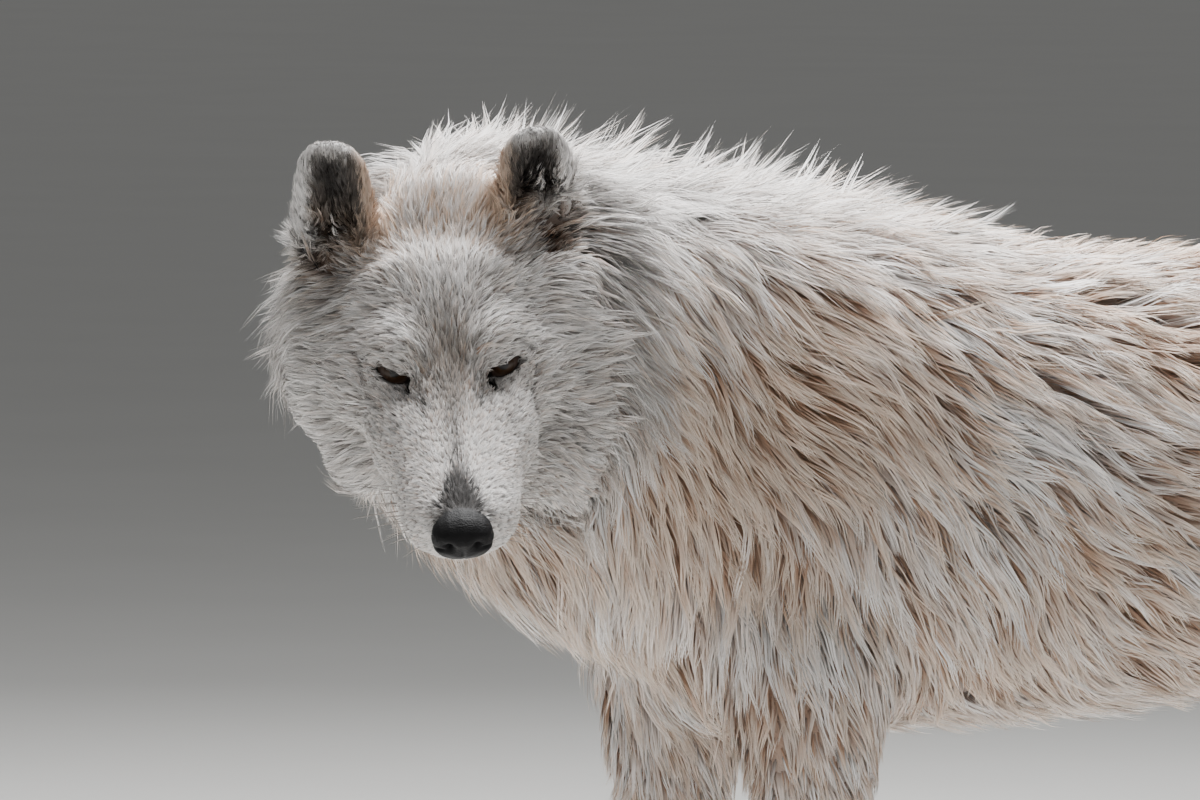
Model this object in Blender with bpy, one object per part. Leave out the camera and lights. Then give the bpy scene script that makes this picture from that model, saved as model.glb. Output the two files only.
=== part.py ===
"""Arctic wolf, a still life-size model: standing, head lowered and turned to its left.

The wolf faces -Y and its left side is +X. Every outline is that of the coat, out to its tips.
The body is lofted and joined whole, then parted into its named pieces with thin cuts.
"""

import math

import bmesh
import bpy
import numpy as np
from mathutils import Matrix, Vector

# ---- driving dimensions, in metres ----
WITHERS_HEIGHT = 0.757      # top of the coat over the shoulders
CHEST_BOTTOM = 0.396        # lowest belly hair behind the forelegs
STANCE_HALF_WIDTH = 0.074   # from the midline to the middle of a foreleg
FORELEG_Y = -0.303          # the forelegs' place along the body
HINDLEG_Y = 0.410           # the hind paws' place along the body

EYE_POINT = Vector((0.079, -0.572, 0.651))   # midway between the eyes
HEAD_TURN = math.radians(57.8)    # from straight ahead towards the wolf's left
HEAD_PITCH = math.radians(29.0)   # muzzle below the level
HEAD_ROLL = math.radians(4.0)     # crown leaning towards the wolf's right
EYE_SPACING = 0.066               # between the eyes' middles
EYE_RADIUS = 0.0120
EAR_HEIGHT = 0.077
EAR_SPREAD = 0.064                # from the head's midline to the middle of an ear

CUT = 0.0004          # half the gap that parts two pieces
BODY_VOXEL = 0.0045
FACE_SHARE = 0.0160   # share of the fine faces kept
DETAIL_PULL = 0.0200  # how strongly they gather on the head and paws
EAR_SIDES = 14

WHITE = (0.80, 0.77, 0.72)
CREAM = (0.74, 0.66, 0.56)
BROWN = (0.20, 0.15, 0.12)
BLACK = (0.012, 0.012, 0.014)


# ---- the head's own axes ----
def head_matrix():
    """Head axes to world: x forward along the muzzle, y to the wolf's left, z up, origin between the eyes."""
    straight = Matrix.Rotation(math.radians(-90.0), 3, "Z")
    turn = Matrix.Rotation(HEAD_TURN, 3, "Z")
    pitch = Matrix.Rotation(HEAD_PITCH, 3, "Y")
    roll = Matrix.Rotation(HEAD_ROLL, 3, "X")
    return Matrix.Translation(EYE_POINT) @ (turn @ straight @ roll @ pitch).to_4x4()


HEAD = head_matrix()


# ---- lofting ----
def curve_through(keys, steps):
    """Rows on a smooth curve through the key rows, with this many steps between two keys."""
    keys = np.array(keys, float)
    ends = np.vstack([2 * keys[0] - keys[1], keys, 2 * keys[-1] - keys[-2]])
    rows = []
    for i in range(1, len(ends) - 2):
        before, here, after, beyond = ends[i - 1 : i + 3]
        for step in range(steps):
            t = step / steps
            rows.append(
                0.5
                * (
                    2 * here
                    + (after - before) * t
                    + (2 * before - 5 * here + 4 * after - beyond) * t**2
                    + (3 * here - before - 3 * after + beyond) * t**3
                )
            )
    rows.append(keys[-1])
    return np.array(rows)


def signed_power(value, power):
    return math.copysign(abs(value) ** power, value)


def loft(keys, side, steps=4, sides=28, square=1.0, grow=0.0):
    """A closed tube through key rows (x, y, z, half width, rise, drop).

    Half width is along side. Rise and drop are the section's reach to its two other sides.
    square under 1 makes the section boxier, and grow fattens the whole tube.
    """
    rows = curve_through(keys, steps)
    centres = [Vector(row[:3]) for row in rows]
    shape = bmesh.new()
    rings = []
    for i, row in enumerate(rows):
        tangent = (centres[min(i + 1, len(rows) - 1)] - centres[max(i - 1, 0)]).normalized()
        across = (side - side.dot(tangent) * tangent).normalized()
        upward = tangent.cross(across)
        half, rise, drop = (max(value, 0.002) + grow for value in row[3:6])
        ring = []
        for k in range(sides):
            angle = math.tau * k / sides
            x = signed_power(math.cos(angle), square) * half
            y = signed_power(math.sin(angle), square)
            y *= rise if y > 0 else drop
            ring.append(shape.verts.new(centres[i] + across * x + upward * y))
        rings.append(ring)
    for lower, upper in zip(rings, rings[1:]):
        for k in range(sides):
            n = (k + 1) % sides
            shape.faces.new((lower[k], lower[n], upper[n], upper[k]))
    shape.faces.new(list(reversed(rings[0])))
    shape.faces.new(rings[-1])
    bmesh.ops.recalc_face_normals(shape, faces=shape.faces)
    return shape


def ball(centre, radii, turn=None, segments=28):
    """An ellipsoid, with turn as an extra rotation about its centre."""
    shape = bmesh.new()
    bmesh.ops.create_uvsphere(shape, u_segments=segments, v_segments=segments // 2, radius=1.0)
    matrix = Matrix.Translation(Vector(centre)) @ (turn or Matrix.Identity(4))
    matrix = matrix @ Matrix.Diagonal((*radii, 1.0))
    bmesh.ops.transform(shape, matrix=matrix, verts=shape.verts)
    return shape


def in_head(shape):
    """The same shape, carried from the head's axes into the world."""
    bmesh.ops.transform(shape, matrix=HEAD, verts=shape.verts)
    return shape


def box(low, high, matrix=None):
    shape = bmesh.new()
    bmesh.ops.create_cube(shape, size=1.0)
    size = Vector(high) - Vector(low)
    middle = (Vector(high) + Vector(low)) / 2
    place = Matrix.Translation(middle) @ Matrix.Diagonal((*size, 1.0))
    bmesh.ops.transform(shape, matrix=(matrix or Matrix.Identity(4)) @ place, verts=shape.verts)
    return shape


def half_space(point, normal, offset):
    """A large block on the side that normal points to, its near face moved on by offset."""
    normal = Vector(normal).normalized()
    spin = normal.to_track_quat("Z", "Y").to_matrix().to_4x4()
    reach = 2.0
    low, high = (-reach, -reach, offset), (reach, reach, reach)
    return box(low, high, Matrix.Translation(Vector(point)) @ spin)


# ---- objects ----
def object_of(shape, name):
    mesh = bpy.data.meshes.new(name)
    shape.to_mesh(mesh)
    shape.free()
    made = bpy.data.objects.new(name, mesh)
    bpy.context.scene.collection.objects.link(made)
    return made


def settle(piece):
    """Applies the piece's modifiers."""
    bpy.context.view_layer.update()
    graph = bpy.context.evaluated_depsgraph_get()
    mesh = bpy.data.meshes.new_from_object(piece.evaluated_get(graph))
    piece.modifiers.clear()
    piece.data = mesh
    return piece


def boolean(piece, shape, operation):
    """Cuts the piece by a shape, or keeps what they share, and removes the cutter."""
    cutter = object_of(shape, "cutter")
    step = piece.modifiers.new("cut", "BOOLEAN")
    step.object = cutter
    step.operation = operation
    step.solver = "EXACT"
    settle(piece)
    bpy.data.objects.remove(cutter)
    return piece


def copy_of(piece, name):
    made = bpy.data.objects.new(name, piece.data.copy())
    bpy.context.scene.collection.objects.link(made)
    return made


def grown(shape, by):
    """A copy of the shape with every face moved outwards by the same distance."""
    bigger = shape.copy()
    bigger.normal_update()
    moves = [vert.normal * vert.calc_shell_factor() * by for vert in bigger.verts]
    for vert, move in zip(bigger.verts, moves):
        vert.co += move
    return bigger


def take(body, name, space):
    """Parts a piece from the body: what lies in the space, less a thin gap round it."""
    bmesh.ops.triangulate(space, faces=space.faces)
    outer = grown(space, 2 * CUT)
    piece = boolean(copy_of(body, name), space, "INTERSECT")
    boolean(body, outer, "DIFFERENCE")
    return piece


def take_beyond(body, name, point, normal):
    """Parts off all that lies beyond a plane."""
    piece = boolean(copy_of(body, name), half_space(point, normal, CUT), "INTERSECT")
    boolean(body, half_space(point, normal, -CUT), "DIFFERENCE")
    return piece


def keep_largest(piece):
    """Drops the crumbs that a cut may leave beside the piece."""
    shape = bmesh.new()
    shape.from_mesh(piece.data)
    unseen = set(shape.verts)
    groups = []
    while unseen:
        stack = [unseen.pop()]
        group = []
        while stack:
            vert = stack.pop()
            group.append(vert)
            for edge in vert.link_edges:
                other = edge.other_vert(vert)
                if other in unseen:
                    unseen.remove(other)
                    stack.append(other)
        groups.append(group)
    groups.sort(key=len)
    for group in groups[:-1]:
        bmesh.ops.delete(shape, geom=group, context="VERTS")
    shape.to_mesh(piece.data)
    shape.free()


# ---- trunk and neck: key rows are (y, top, bottom, half width) ----
TRUNK = [
    (-0.440, 0.600, 0.480, 0.055),
    (-0.410, 0.690, 0.437, 0.100),
    (-0.345, 0.752, 0.408, 0.138),
    (-0.240, WITHERS_HEIGHT, CHEST_BOTTOM, 0.156),
    (-0.110, 0.727, CHEST_BOTTOM - 0.004, 0.161),
    (0.040, 0.713, 0.398, 0.158),
    (0.180, 0.709, 0.416, 0.148),
    (0.300, 0.710, 0.444, 0.143),
    (0.400, 0.694, 0.470, 0.134),
    (0.465, 0.660, 0.505, 0.104),
    (0.495, 0.622, 0.550, 0.050),
]
NECK = [
    (0.000, -0.220, 0.600, 0.152, 0.155, 0.170),
    (0.000, -0.320, 0.628, 0.148, 0.146, 0.190),
    (-0.004, -0.410, 0.655, 0.139, 0.140, 0.196),
    (-0.006, -0.480, 0.672, 0.126, 0.128, 0.165),
    (0.000, -0.530, 0.682, 0.104, 0.104, 0.130),
]
THROAT = ((-0.008, -0.495, 0.600), (0.108, 0.092, 0.082))   # centre and radii
NAPE = ((-0.010, -0.512, 0.705), (0.088, 0.078, 0.098))
TAIL = [
    (0.000, 0.430, 0.632, 0.040, 0.040, 0.040),
    (0.000, 0.495, 0.618, 0.042, 0.042, 0.042),
    (0.002, 0.542, 0.560, 0.050, 0.050, 0.050),
    (0.006, 0.560, 0.480, 0.057, 0.055, 0.057),
    (0.010, 0.566, 0.395, 0.056, 0.055, 0.056),
    (0.014, 0.568, 0.315, 0.044, 0.044, 0.044),
    (0.017, 0.571, 0.255, 0.022, 0.022, 0.022),
    (0.018, 0.573, 0.234, 0.004, 0.004, 0.004),
]


def trunk_rows():
    """The trunk's key rows as centres and reaches, the widest line a little below half height."""
    widest = 0.46
    rows = []
    for y, top, bottom, half in TRUNK:
        middle = bottom + (top - bottom) * widest
        rows.append((0.0, y, middle, half, middle - bottom, top - middle))
    return rows


# ---- legs: key rows are (out from the midline, y, z, half width, reach behind, reach in front) ----
def foreleg_rows(ahead):
    out = STANCE_HALF_WIDTH
    y = FORELEG_Y
    return [
        (out - 0.016, y + 0.002, 0.560, 0.054, 0.075, 0.072),
        (out - 0.002, y + 0.006, 0.480, 0.054, 0.070, 0.066),
        (out + 0.004, y + 0.008, 0.415, 0.046, 0.058, 0.050),
        (out + 0.004, y + 0.006, 0.345, 0.038, 0.046, 0.042),
        (out + 0.002, y + 0.003, 0.250, 0.032, 0.036, 0.035),
        (out, y + ahead * 0.5, 0.165, 0.032, 0.033, 0.033),
        (out, y + ahead * 0.8, 0.110, 0.030, 0.030, 0.030),
        (out, y + ahead - 0.014, 0.055, 0.034, 0.033, 0.036),
        (out, y + ahead - 0.026, 0.024, 0.036, 0.034, 0.040),
    ]


def hindleg_rows(behind):
    out = STANCE_HALF_WIDTH + 0.002
    y = HINDLEG_Y
    return [
        (out - 0.022, y - 0.080, 0.590, 0.060, 0.110, 0.100),
        (out - 0.002, y - 0.084, 0.520, 0.064, 0.112, 0.104),
        (out + 0.010, y - 0.078, 0.440, 0.058, 0.088, 0.088),
        (out + 0.012, y - 0.030 + behind * 0.2, 0.365, 0.044, 0.058, 0.058),
        (out + 0.008, y + 0.028 + behind * 0.4, 0.290, 0.032, 0.041, 0.039),
        (out + 0.004, y + 0.064 + behind * 0.7, 0.225, 0.027, 0.033, 0.033),
        (out, y + 0.060 + behind * 0.9, 0.150, 0.027, 0.030, 0.030),
        (out, y + 0.038 + behind, 0.075, 0.029, 0.029, 0.029),
        (out, y + 0.020 + behind, 0.026, 0.034, 0.034, 0.040),
    ]


FORELEG_STEP = {1: -0.004, -1: 0.004}    # how far each paw is set back
HINDLEG_STEP = {1: -0.045, -1: 0.030}


def mirrored(rows, hand):
    return [(row[0] * hand, *row[1:]) for row in rows]


def paw(hand, out, y, scale):
    """A broad paw with four toes, its heel at y."""
    x = hand * out
    shapes = [ball((x, y - 0.012 * scale, 0.027), (0.039 * scale, 0.050 * scale, 0.031))]
    toes = [(-0.029, -0.036, 0.0165), (-0.0115, -0.056, 0.0185)]
    toes += [(-across, ahead, size) for across, ahead, size in toes]
    for across, ahead, size in toes:
        centre = (x + across * scale, y + ahead * scale, size * scale)
        shapes.append(ball(centre, (size * scale, size * 1.35 * scale, size * 1.12 * scale), segments=18))
    return shapes


# ---- head, in its own axes ----
MUZZLE = [
    (-0.060, 0.0, -0.016, 0.084, 0.078, 0.070),
    (-0.025, 0.0, -0.020, 0.067, 0.052, 0.064),
    (0.005, 0.0, -0.024, 0.0550, 0.035, 0.056),
    (0.035, 0.0, -0.031, 0.0460, 0.027, 0.047),
    (0.065, 0.0, -0.038, 0.0405, 0.0225, 0.038),
    (0.090, 0.0, -0.043, 0.0370, 0.020, 0.032),
    (0.106, 0.0, -0.0455, 0.0325, 0.018, 0.027),
    (0.117, 0.0, -0.048, 0.0210, 0.012, 0.018),
]
LOWER_JAW = [
    (-0.080, 0.0, -0.068, 0.050, 0.034, 0.034),
    (-0.030, 0.0, -0.070, 0.040, 0.028, 0.024),
    (0.030, 0.0, -0.070, 0.031, 0.022, 0.016),
    (0.080, 0.0, -0.070, 0.0255, 0.016, 0.0105),
    (0.099, 0.0, -0.068, 0.0150, 0.010, 0.008),
]
# Pairs of rounded masses: centre on the left side, then radii.
FACE_PAIRS = [
    ((-0.022, 0.028, 0.012), (0.030, 0.026, 0.022)),     # brow over the eye
    ((-0.034, 0.048, -0.016), (0.048, 0.036, 0.038)),    # cheekbone
    ((0.004, 0.034, -0.034), (0.052, 0.024, 0.030)),     # under the eye
    ((-0.074, 0.060, -0.034), (0.060, 0.048, 0.062)),    # cheek
    ((-0.104, 0.070, -0.026), (0.050, 0.046, 0.072)),    # ruff
    ((-0.060, 0.046, -0.080), (0.056, 0.042, 0.042)),    # under the cheek
    ((-0.092, 0.058, 0.014), (0.036, 0.036, 0.036)),     # root of the ear
]


def head_shapes():
    """The skull, muzzle, brows, cheeks and ruff, with the coat on them."""
    left = Vector((0.0, 1.0, 0.0))
    shapes = [
        loft(MUZZLE, left, steps=5, square=0.80),
        loft(LOWER_JAW, left, steps=4),
        ball((-0.095, 0.0, -0.010), (0.102, 0.077, 0.074)),
        ball((-0.108, 0.0, -0.004), (0.070, 0.086, 0.066)),
    ]
    for (x, y, z), radii in FACE_PAIRS:
        shapes += [ball((x, hand * y, z), radii) for hand in (1, -1)]
    return [in_head(shape) for shape in shapes]


def nose_shape(grow=0.0):
    """The bare nose pad on the muzzle's tip."""
    keys = [
        (0.100, 0.0, -0.0415, 0.0120, 0.0100, 0.0120),
        (0.110, 0.0, -0.0420, 0.0175, 0.0135, 0.0170),
        (0.119, 0.0, -0.0435, 0.0195, 0.0145, 0.0180),
        (0.126, 0.0, -0.0455, 0.0170, 0.0120, 0.0155),
        (0.130, 0.0, -0.0475, 0.0090, 0.0070, 0.0090),
    ]
    return in_head(loft(keys, Vector((0.0, 1.0, 0.0)), steps=2, sides=16, square=0.85, grow=grow))


def eye_shape(hand, grow=0.0):
    centre = (-0.0045, hand * EYE_SPACING / 2, 0.0025)
    return in_head(ball(centre, [EYE_RADIUS + grow] * 3, segments=14))


def lid_opening(hand):
    """The slit between the lids, its outer corner the higher one."""
    slant = Matrix.Rotation(math.radians(35.0) * hand, 4, "X")
    return in_head(ball((0.009, hand * (EYE_SPACING / 2 + 0.001), 0.0035), (0.011, 0.0145, 0.0068), slant, 14))


# ---- ears ----
def ear_matrix(hand):
    """Ear axes to head axes: x across the ear, y to its back, z up to its tip."""
    base = Matrix.Translation((-0.086, hand * EAR_SPREAD, 0.036))
    lean_back = Matrix.Rotation(math.radians(-6.0), 4, "Y")
    face = Matrix.Rotation(math.radians(90.0 + 16.0 * hand), 4, "Z")
    return base @ lean_back @ face


def ear(hand, head):
    """A cupped, rounded ear, open to the front, standing on the head."""
    tall = EAR_HEIGHT
    shell = [
        (0.0, 0.000, -0.034, 0.024, 0.024, 0.018),
        (0.0, 0.000, -0.010, 0.0265, 0.023, 0.019),
        (0.0, 0.001, 0.25 * tall, 0.0265, 0.019, 0.015),
        (0.0, 0.002, 0.55 * tall, 0.0255, 0.014, 0.011),
        (0.0, 0.003, 0.80 * tall, 0.0215, 0.010, 0.008),
        (0.0, 0.003, 0.94 * tall, 0.0140, 0.007, 0.006),
        (0.0, 0.003, 1.00 * tall, 0.0055, 0.003, 0.003),
    ]
    scoop = [
        (0.0, -0.016, -0.004, 0.008, 0.010, 0.020),
        (0.0, -0.016, 0.16 * tall, 0.0155, 0.020, 0.020),
        (0.0, -0.015, 0.48 * tall, 0.0175, 0.019, 0.020),
        (0.0, -0.013, 0.74 * tall, 0.0140, 0.015, 0.020),
        (0.0, -0.012, 0.89 * tall, 0.0060, 0.010, 0.020),
    ]
    side = Vector((1.0, 0.0, 0.0))
    place = HEAD @ ear_matrix(hand)
    outer = loft(shell, side, steps=2, sides=EAR_SIDES)
    bmesh.ops.transform(outer, matrix=place, verts=outer.verts)
    inner = loft(scoop, side, steps=2, sides=EAR_SIDES - 2)
    bmesh.ops.transform(inner, matrix=place, verts=inner.verts)
    made = boolean(object_of(outer, "ear_left" if hand > 0 else "ear_right"), inner, "DIFFERENCE")
    swollen = copy_of(head, "cutter_head")
    grow = swollen.modifiers.new("grow", "DISPLACE")
    grow.mid_level = 0.0
    grow.strength = 2 * CUT
    settle(swollen)
    step = made.modifiers.new("cut", "BOOLEAN")
    step.object = swollen
    step.operation = "DIFFERENCE"
    settle(made)
    bpy.data.objects.remove(swollen)
    keep_largest(made)
    return made


# ---- the whole body, joined, smoothed and thinned ----
def weigh(piece, name, weight_of):
    group = piece.vertex_groups.new(name=name)
    for vert in piece.data.vertices:
        group.add([vert.index], weight_of(vert.co), "REPLACE")


def ramp(value, low, high):
    return min(max((value - low) / (high - low), 0.0), 1.0)


def head_share(point):
    """1 on the head, 0 on the body, with a soft change across the nape and throat."""
    at = HEAD.inverted() @ point
    return ramp(at.x, -0.150, -0.100) * ramp(at.z, -0.150, -0.110) * (1.0 if at.length < 0.30 else 0.0)


def mane_share(point):
    """1 behind the face, where crown, cheeks, ruff and neck run into each other."""
    at = HEAD.inverted() @ point
    return ramp(-at.x, 0.025, 0.075) * (1.0 if at.length < 0.30 else 0.0)


def torso_share(point):
    return (1.0 - head_share(point)) * ramp(point.z, 0.36, 0.45)


def whole_body():
    sideways = Vector((1.0, 0.0, 0.0))
    shapes = [
        loft(trunk_rows(), sideways, sides=36, square=0.94),
        loft(NECK, sideways, steps=5),
        ball(*THROAT),
        ball(*NAPE),
        loft(TAIL, sideways, sides=20),
        *head_shapes(),
    ]
    for hand in (1, -1):
        fore, hind = FORELEG_STEP[hand], HINDLEG_STEP[hand]
        shapes.append(loft(mirrored(foreleg_rows(fore), hand), sideways, sides=24))
        shapes.append(loft(mirrored(hindleg_rows(hind), hand), sideways, sides=24))
        shapes += paw(hand, STANCE_HALF_WIDTH, FORELEG_Y - 0.028 + fore, 1.06)
        shapes += paw(hand, STANCE_HALF_WIDTH + 0.002, HINDLEG_Y + 0.012 + hind, 0.98)
    joined = bmesh.new()
    for shape in shapes:
        mesh = bpy.data.meshes.new("shape")
        shape.to_mesh(mesh)
        shape.free()
        joined.from_mesh(mesh)
        bpy.data.meshes.remove(mesh)
    body = object_of(joined, "trunk")
    remesh = body.modifiers.new("join", "REMESH")
    remesh.mode = "VOXEL"
    remesh.voxel_size = BODY_VOXEL
    settle(body)
    for name, weight_of, rounds in (
        ("torso", torso_share, 70),
        ("rest_of_body", lambda point: 1.0 - head_share(point), 14),
        ("behind_the_face", mane_share, 30),
        ("whole", lambda point: 1.0, 5),
    ):
        weigh(body, name, weight_of)
        soften(body, name, rounds)
    return settle(body)


def soften(piece, group, rounds):
    smooth = piece.modifiers.new("soften", "SMOOTH")
    smooth.factor = 0.5
    smooth.iterations = rounds
    smooth.vertex_group = group


def plainness(point):
    """How freely faces may be merged: least on the head, then on the paws."""
    return 0.05 + 0.95 * (1.0 - head_share(point)) * (0.7 + 0.3 * ramp(point.z, 0.06, 0.12))


def thin(piece, share):
    """Fewer faces, most of them left on the head and paws and where the shape turns."""
    weigh(piece, "plain", plainness)
    step = piece.modifiers.new("thin", "DECIMATE")
    step.ratio = share
    step.vertex_group = "plain"
    step.vertex_group_factor = DETAIL_PULL
    step.use_collapse_triangulate = True
    return settle(piece)


# ---- parting the body ----
HEAD_BOX = ((-0.116, -0.22, -0.112), (0.30, 0.22, 0.30))     # in the head's axes
COLLAR = (Vector((0.0, -0.335, 0.62)), Vector((0.0, -0.88, 0.42)))
TAIL_ROOT = (Vector((0.0, 0.500, 0.62)), Vector((0.0, 1.0, 0.0)))
ELBOW_TOP = 0.470
THIGH_TOP = 0.580


def leg_space(rows, hand, top):
    """The space that a leg is taken from: its own tube, fatter and flared round the paw, below a level."""
    keys = []
    for x, y, z, half, back, front in mirrored(rows, hand):
        if z < top - 0.02:
            flare = ramp(-z, -0.12, 0.0)
            reach = 0.012 + 0.055 * flare
            keys.append((x, y, z, half + 0.010 + 0.022 * flare, back + reach, front + reach))
    first, last = keys[0], keys[-1]
    keys.insert(0, (first[0], first[1], top, first[3] + 0.004, first[4] + 0.006, first[5] + 0.006))
    keys.append((last[0], last[1], -0.06, *last[3:]))
    return loft(keys, Vector((1.0, 0.0, 0.0)), steps=1, sides=14)


def take_leg(body, name, rows, hand, top, joints):
    """Parts a leg from the body, and then cuts it at each joint's plane, from the top down."""
    pieces = [take(body, name + joints[0][0], leg_space(rows, hand, top))]
    for part_name, point, normal in joints[1:]:
        pieces.append(take_beyond(pieces[-1], name + part_name, point, normal))
    return pieces


def forelegs(body):
    pieces = []
    for hand, side in ((1, "left"), (-1, "right")):
        y = FORELEG_Y + FORELEG_STEP[hand]
        joints = [
            ("_forearm",),
            ("_pastern", (0.0, y, 0.172), (0.0, 0.05, -1.0)),
            ("_paw", (0.0, y, 0.062), (0.0, -0.25, -1.0)),
        ]
        rows = foreleg_rows(FORELEG_STEP[hand])
        pieces += take_leg(body, "foreleg_" + side, rows, hand, ELBOW_TOP, joints)
    return pieces


def hindlegs(body):
    pieces = []
    for hand, side in ((1, "left"), (-1, "right")):
        y = HINDLEG_Y + HINDLEG_STEP[hand]
        joints = [
            ("_thigh",),
            ("_shank", (0.0, HINDLEG_Y - 0.040, 0.385), (0.0, 0.55, -1.0)),
            ("_hock", (0.0, y + 0.062, 0.232), (0.0, 0.25, -1.0)),
            ("_paw", (0.0, y + 0.030, 0.062), (0.0, -0.25, -1.0)),
        ]
        rows = hindleg_rows(HINDLEG_STEP[hand])
        pieces += take_leg(body, "hindleg_" + side, rows, hand, THIGH_TOP, joints)
    return pieces


def finish(piece, colour, roughness):
    material = bpy.data.materials.new(piece.name + "_finish")
    material.use_nodes = True
    shader = material.node_tree.nodes["Principled BSDF"]
    shader.inputs["Base Color"].default_value = (*colour, 1.0)
    shader.inputs["Roughness"].default_value = roughness
    piece.data.materials.clear()
    piece.data.materials.append(material)
    piece.data.shade_smooth()
    piece.data.set_sharp_from_angle(angle=math.radians(40.0))


def stand_on_origin(pieces):
    """Moves the whole wolf so that the middle of its box is over the origin."""
    spots = [piece.matrix_world @ vert.co for piece in pieces for vert in piece.data.vertices]
    middle = [(min(spot[k] for spot in spots) + max(spot[k] for spot in spots)) / 2 for k in (0, 1)]
    for piece in pieces:
        piece.data.transform(Matrix.Translation((-middle[0], -middle[1], 0.0)))
    return middle


def build():
    for old in list(bpy.data.objects):
        bpy.data.objects.remove(old)
    trunk = thin(whole_body(), FACE_SHARE)
    print("joined:", len(trunk.data.polygons), "faces")
    boolean(trunk, half_space((0.0, 0.0, 0.0), (0.0, 0.0, -1.0), 0.0), "DIFFERENCE")
    legs = forelegs(trunk) + hindlegs(trunk)
    head = take(trunk, "head", box(*HEAD_BOX, HEAD))
    neck = take_beyond(trunk, "neck", *COLLAR)
    tail = take_beyond(trunk, "tail", *TAIL_ROOT)
    ears = [ear(hand, head) for hand in (1, -1)]
    nose = object_of(nose_shape(), "nose")
    boolean(head, nose_shape(2 * CUT), "DIFFERENCE")
    eyes = []
    for hand, side in ((1, "left"), (-1, "right")):
        boolean(head, lid_opening(hand), "DIFFERENCE")
        boolean(head, eye_shape(hand, 2 * CUT), "DIFFERENCE")
        eyes.append(object_of(eye_shape(hand), "eye_" + side))
    furred = [trunk, neck, tail, head, *legs]
    for piece in furred:
        keep_largest(piece)
        finish(piece, CREAM if piece in (trunk, neck) else WHITE, 0.85)
    for piece in ears:
        finish(piece, BROWN, 0.85)
    for piece in (nose, *eyes):
        finish(piece, BLACK, 0.35)
    middle = stand_on_origin([*furred, *ears, nose, *eyes])
    print("moved by", middle)
    for piece in (*furred, *ears, nose, *eyes):
        piece.data.calc_loop_triangles()
        print(piece.name, len(piece.data.loop_triangles), "triangles")


build()
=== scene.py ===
# %% [markdown]
# # An arctic wolf, life size
#
# A museum shows an animal like this as a body under a real coat: first a skin in the animal's
# shape, then eyes, nose, claws and whiskers, and last tens of thousands of locks of hair, each
# lying the way it lies on the living wolf. This notebook works in the same order. The frame is
# a set of plain solids that give the outline out to the tips of the coat, so the skin is made
# by sinking that outline by the depth of the fur, and the fur then grows back out to it.

# %% Load the frame
import math

import bmesh
import bpy
import numpy as np
from mathutils import Matrix, Vector
from mathutils.bvhtree import BVHTree


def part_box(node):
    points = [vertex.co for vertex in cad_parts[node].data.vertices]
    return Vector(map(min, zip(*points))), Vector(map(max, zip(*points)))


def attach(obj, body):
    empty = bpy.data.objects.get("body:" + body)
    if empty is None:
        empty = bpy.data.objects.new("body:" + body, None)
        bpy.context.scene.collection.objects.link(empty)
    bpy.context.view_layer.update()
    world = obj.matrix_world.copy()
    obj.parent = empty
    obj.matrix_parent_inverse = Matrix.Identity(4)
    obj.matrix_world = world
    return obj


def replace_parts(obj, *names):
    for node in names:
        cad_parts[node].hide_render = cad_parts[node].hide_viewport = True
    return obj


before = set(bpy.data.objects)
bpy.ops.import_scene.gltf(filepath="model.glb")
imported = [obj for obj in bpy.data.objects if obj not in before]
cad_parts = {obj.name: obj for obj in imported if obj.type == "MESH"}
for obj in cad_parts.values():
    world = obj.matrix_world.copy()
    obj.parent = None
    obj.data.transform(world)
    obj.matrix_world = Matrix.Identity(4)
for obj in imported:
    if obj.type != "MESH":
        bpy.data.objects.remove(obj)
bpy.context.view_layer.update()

# %% [markdown]
# ## Small tools
#
# Colours are chosen as they look on a screen (sRGB hex), but Blender mixes light in linear
# values, so one function turns them over. Another adds a shader node with its settings and
# links in one line. Most finishes here are two close colours that change places in soft patches,
# so one function sets that up. The numpy helpers below take whole arrays of points at once: a
# coat has too many hairs for a Python loop over each.

# %% Colour and node helpers
def linear(code):
    """An sRGB hex colour as linear red, green, blue and alpha."""
    shares = [int(code[at:at + 2], 16) / 255 for at in (1, 3, 5)]
    return [s / 12.92 if s <= 0.04045 else ((s + 0.055) / 1.055) ** 2.4 for s in shares] + [1.0]


def add_node(tree, kind, settings=None, output=None):
    """A shader node, or one of its outputs. Settings name its sockets or its own options: another
    node's output is linked, a hex colour becomes linear, and any other value is set."""
    node = tree.nodes.new("ShaderNode" + kind)
    for name, value in (settings or {}).items():
        if isinstance(value, bpy.types.NodeSocket):
            tree.links.new(value, node.inputs[name])
        elif isinstance(name, int) or name in node.inputs.keys():
            node.inputs[name].default_value = linear(value) if isinstance(value, str) else value
        else:
            setattr(node, name, value)
    return node if output is None else node.outputs[output]


def new_finish(name, settings):
    """A material with one Principled shader, and its node tree and shader."""
    finish = bpy.data.materials.new(name)
    finish.use_nodes = True
    tree = finish.node_tree
    tree.nodes.clear()
    shader = add_node(tree, "BsdfPrincipled", settings)
    add_node(tree, "OutputMaterial", {"Surface": shader.outputs["BSDF"]})
    return finish, tree, shader


def patchy(tree, shader, scale, detail, first, second):
    """Lets the base colour wander between two colours, with this many patches to a metre."""
    place = add_node(tree, "TexCoord", output="Object")
    cloud = add_node(tree, "TexNoise", {"Scale": scale, "Detail": detail, "Vector": place}, "Fac")
    colour = add_node(tree, "Mix", {"data_type": "RGBA", 0: cloud, 6: first, 7: second}, 2)
    tree.links.new(colour, shader.inputs["Base Color"])
    return cloud


# %% Object helpers
def placed(name, data):
    """An object in the scene with this mesh, lamp or camera."""
    item = bpy.data.objects.new(name, data)
    bpy.context.scene.collection.objects.link(item)
    return item


def finished(piece, slot, *finishes):
    """The piece with its materials and smooth shading, on the body that it rides."""
    for finish in finishes:
        piece.data.materials.append(finish)
    piece.data.shade_smooth()
    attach(piece, "root")
    return piece


print("colours, nodes and objects ready")

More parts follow.
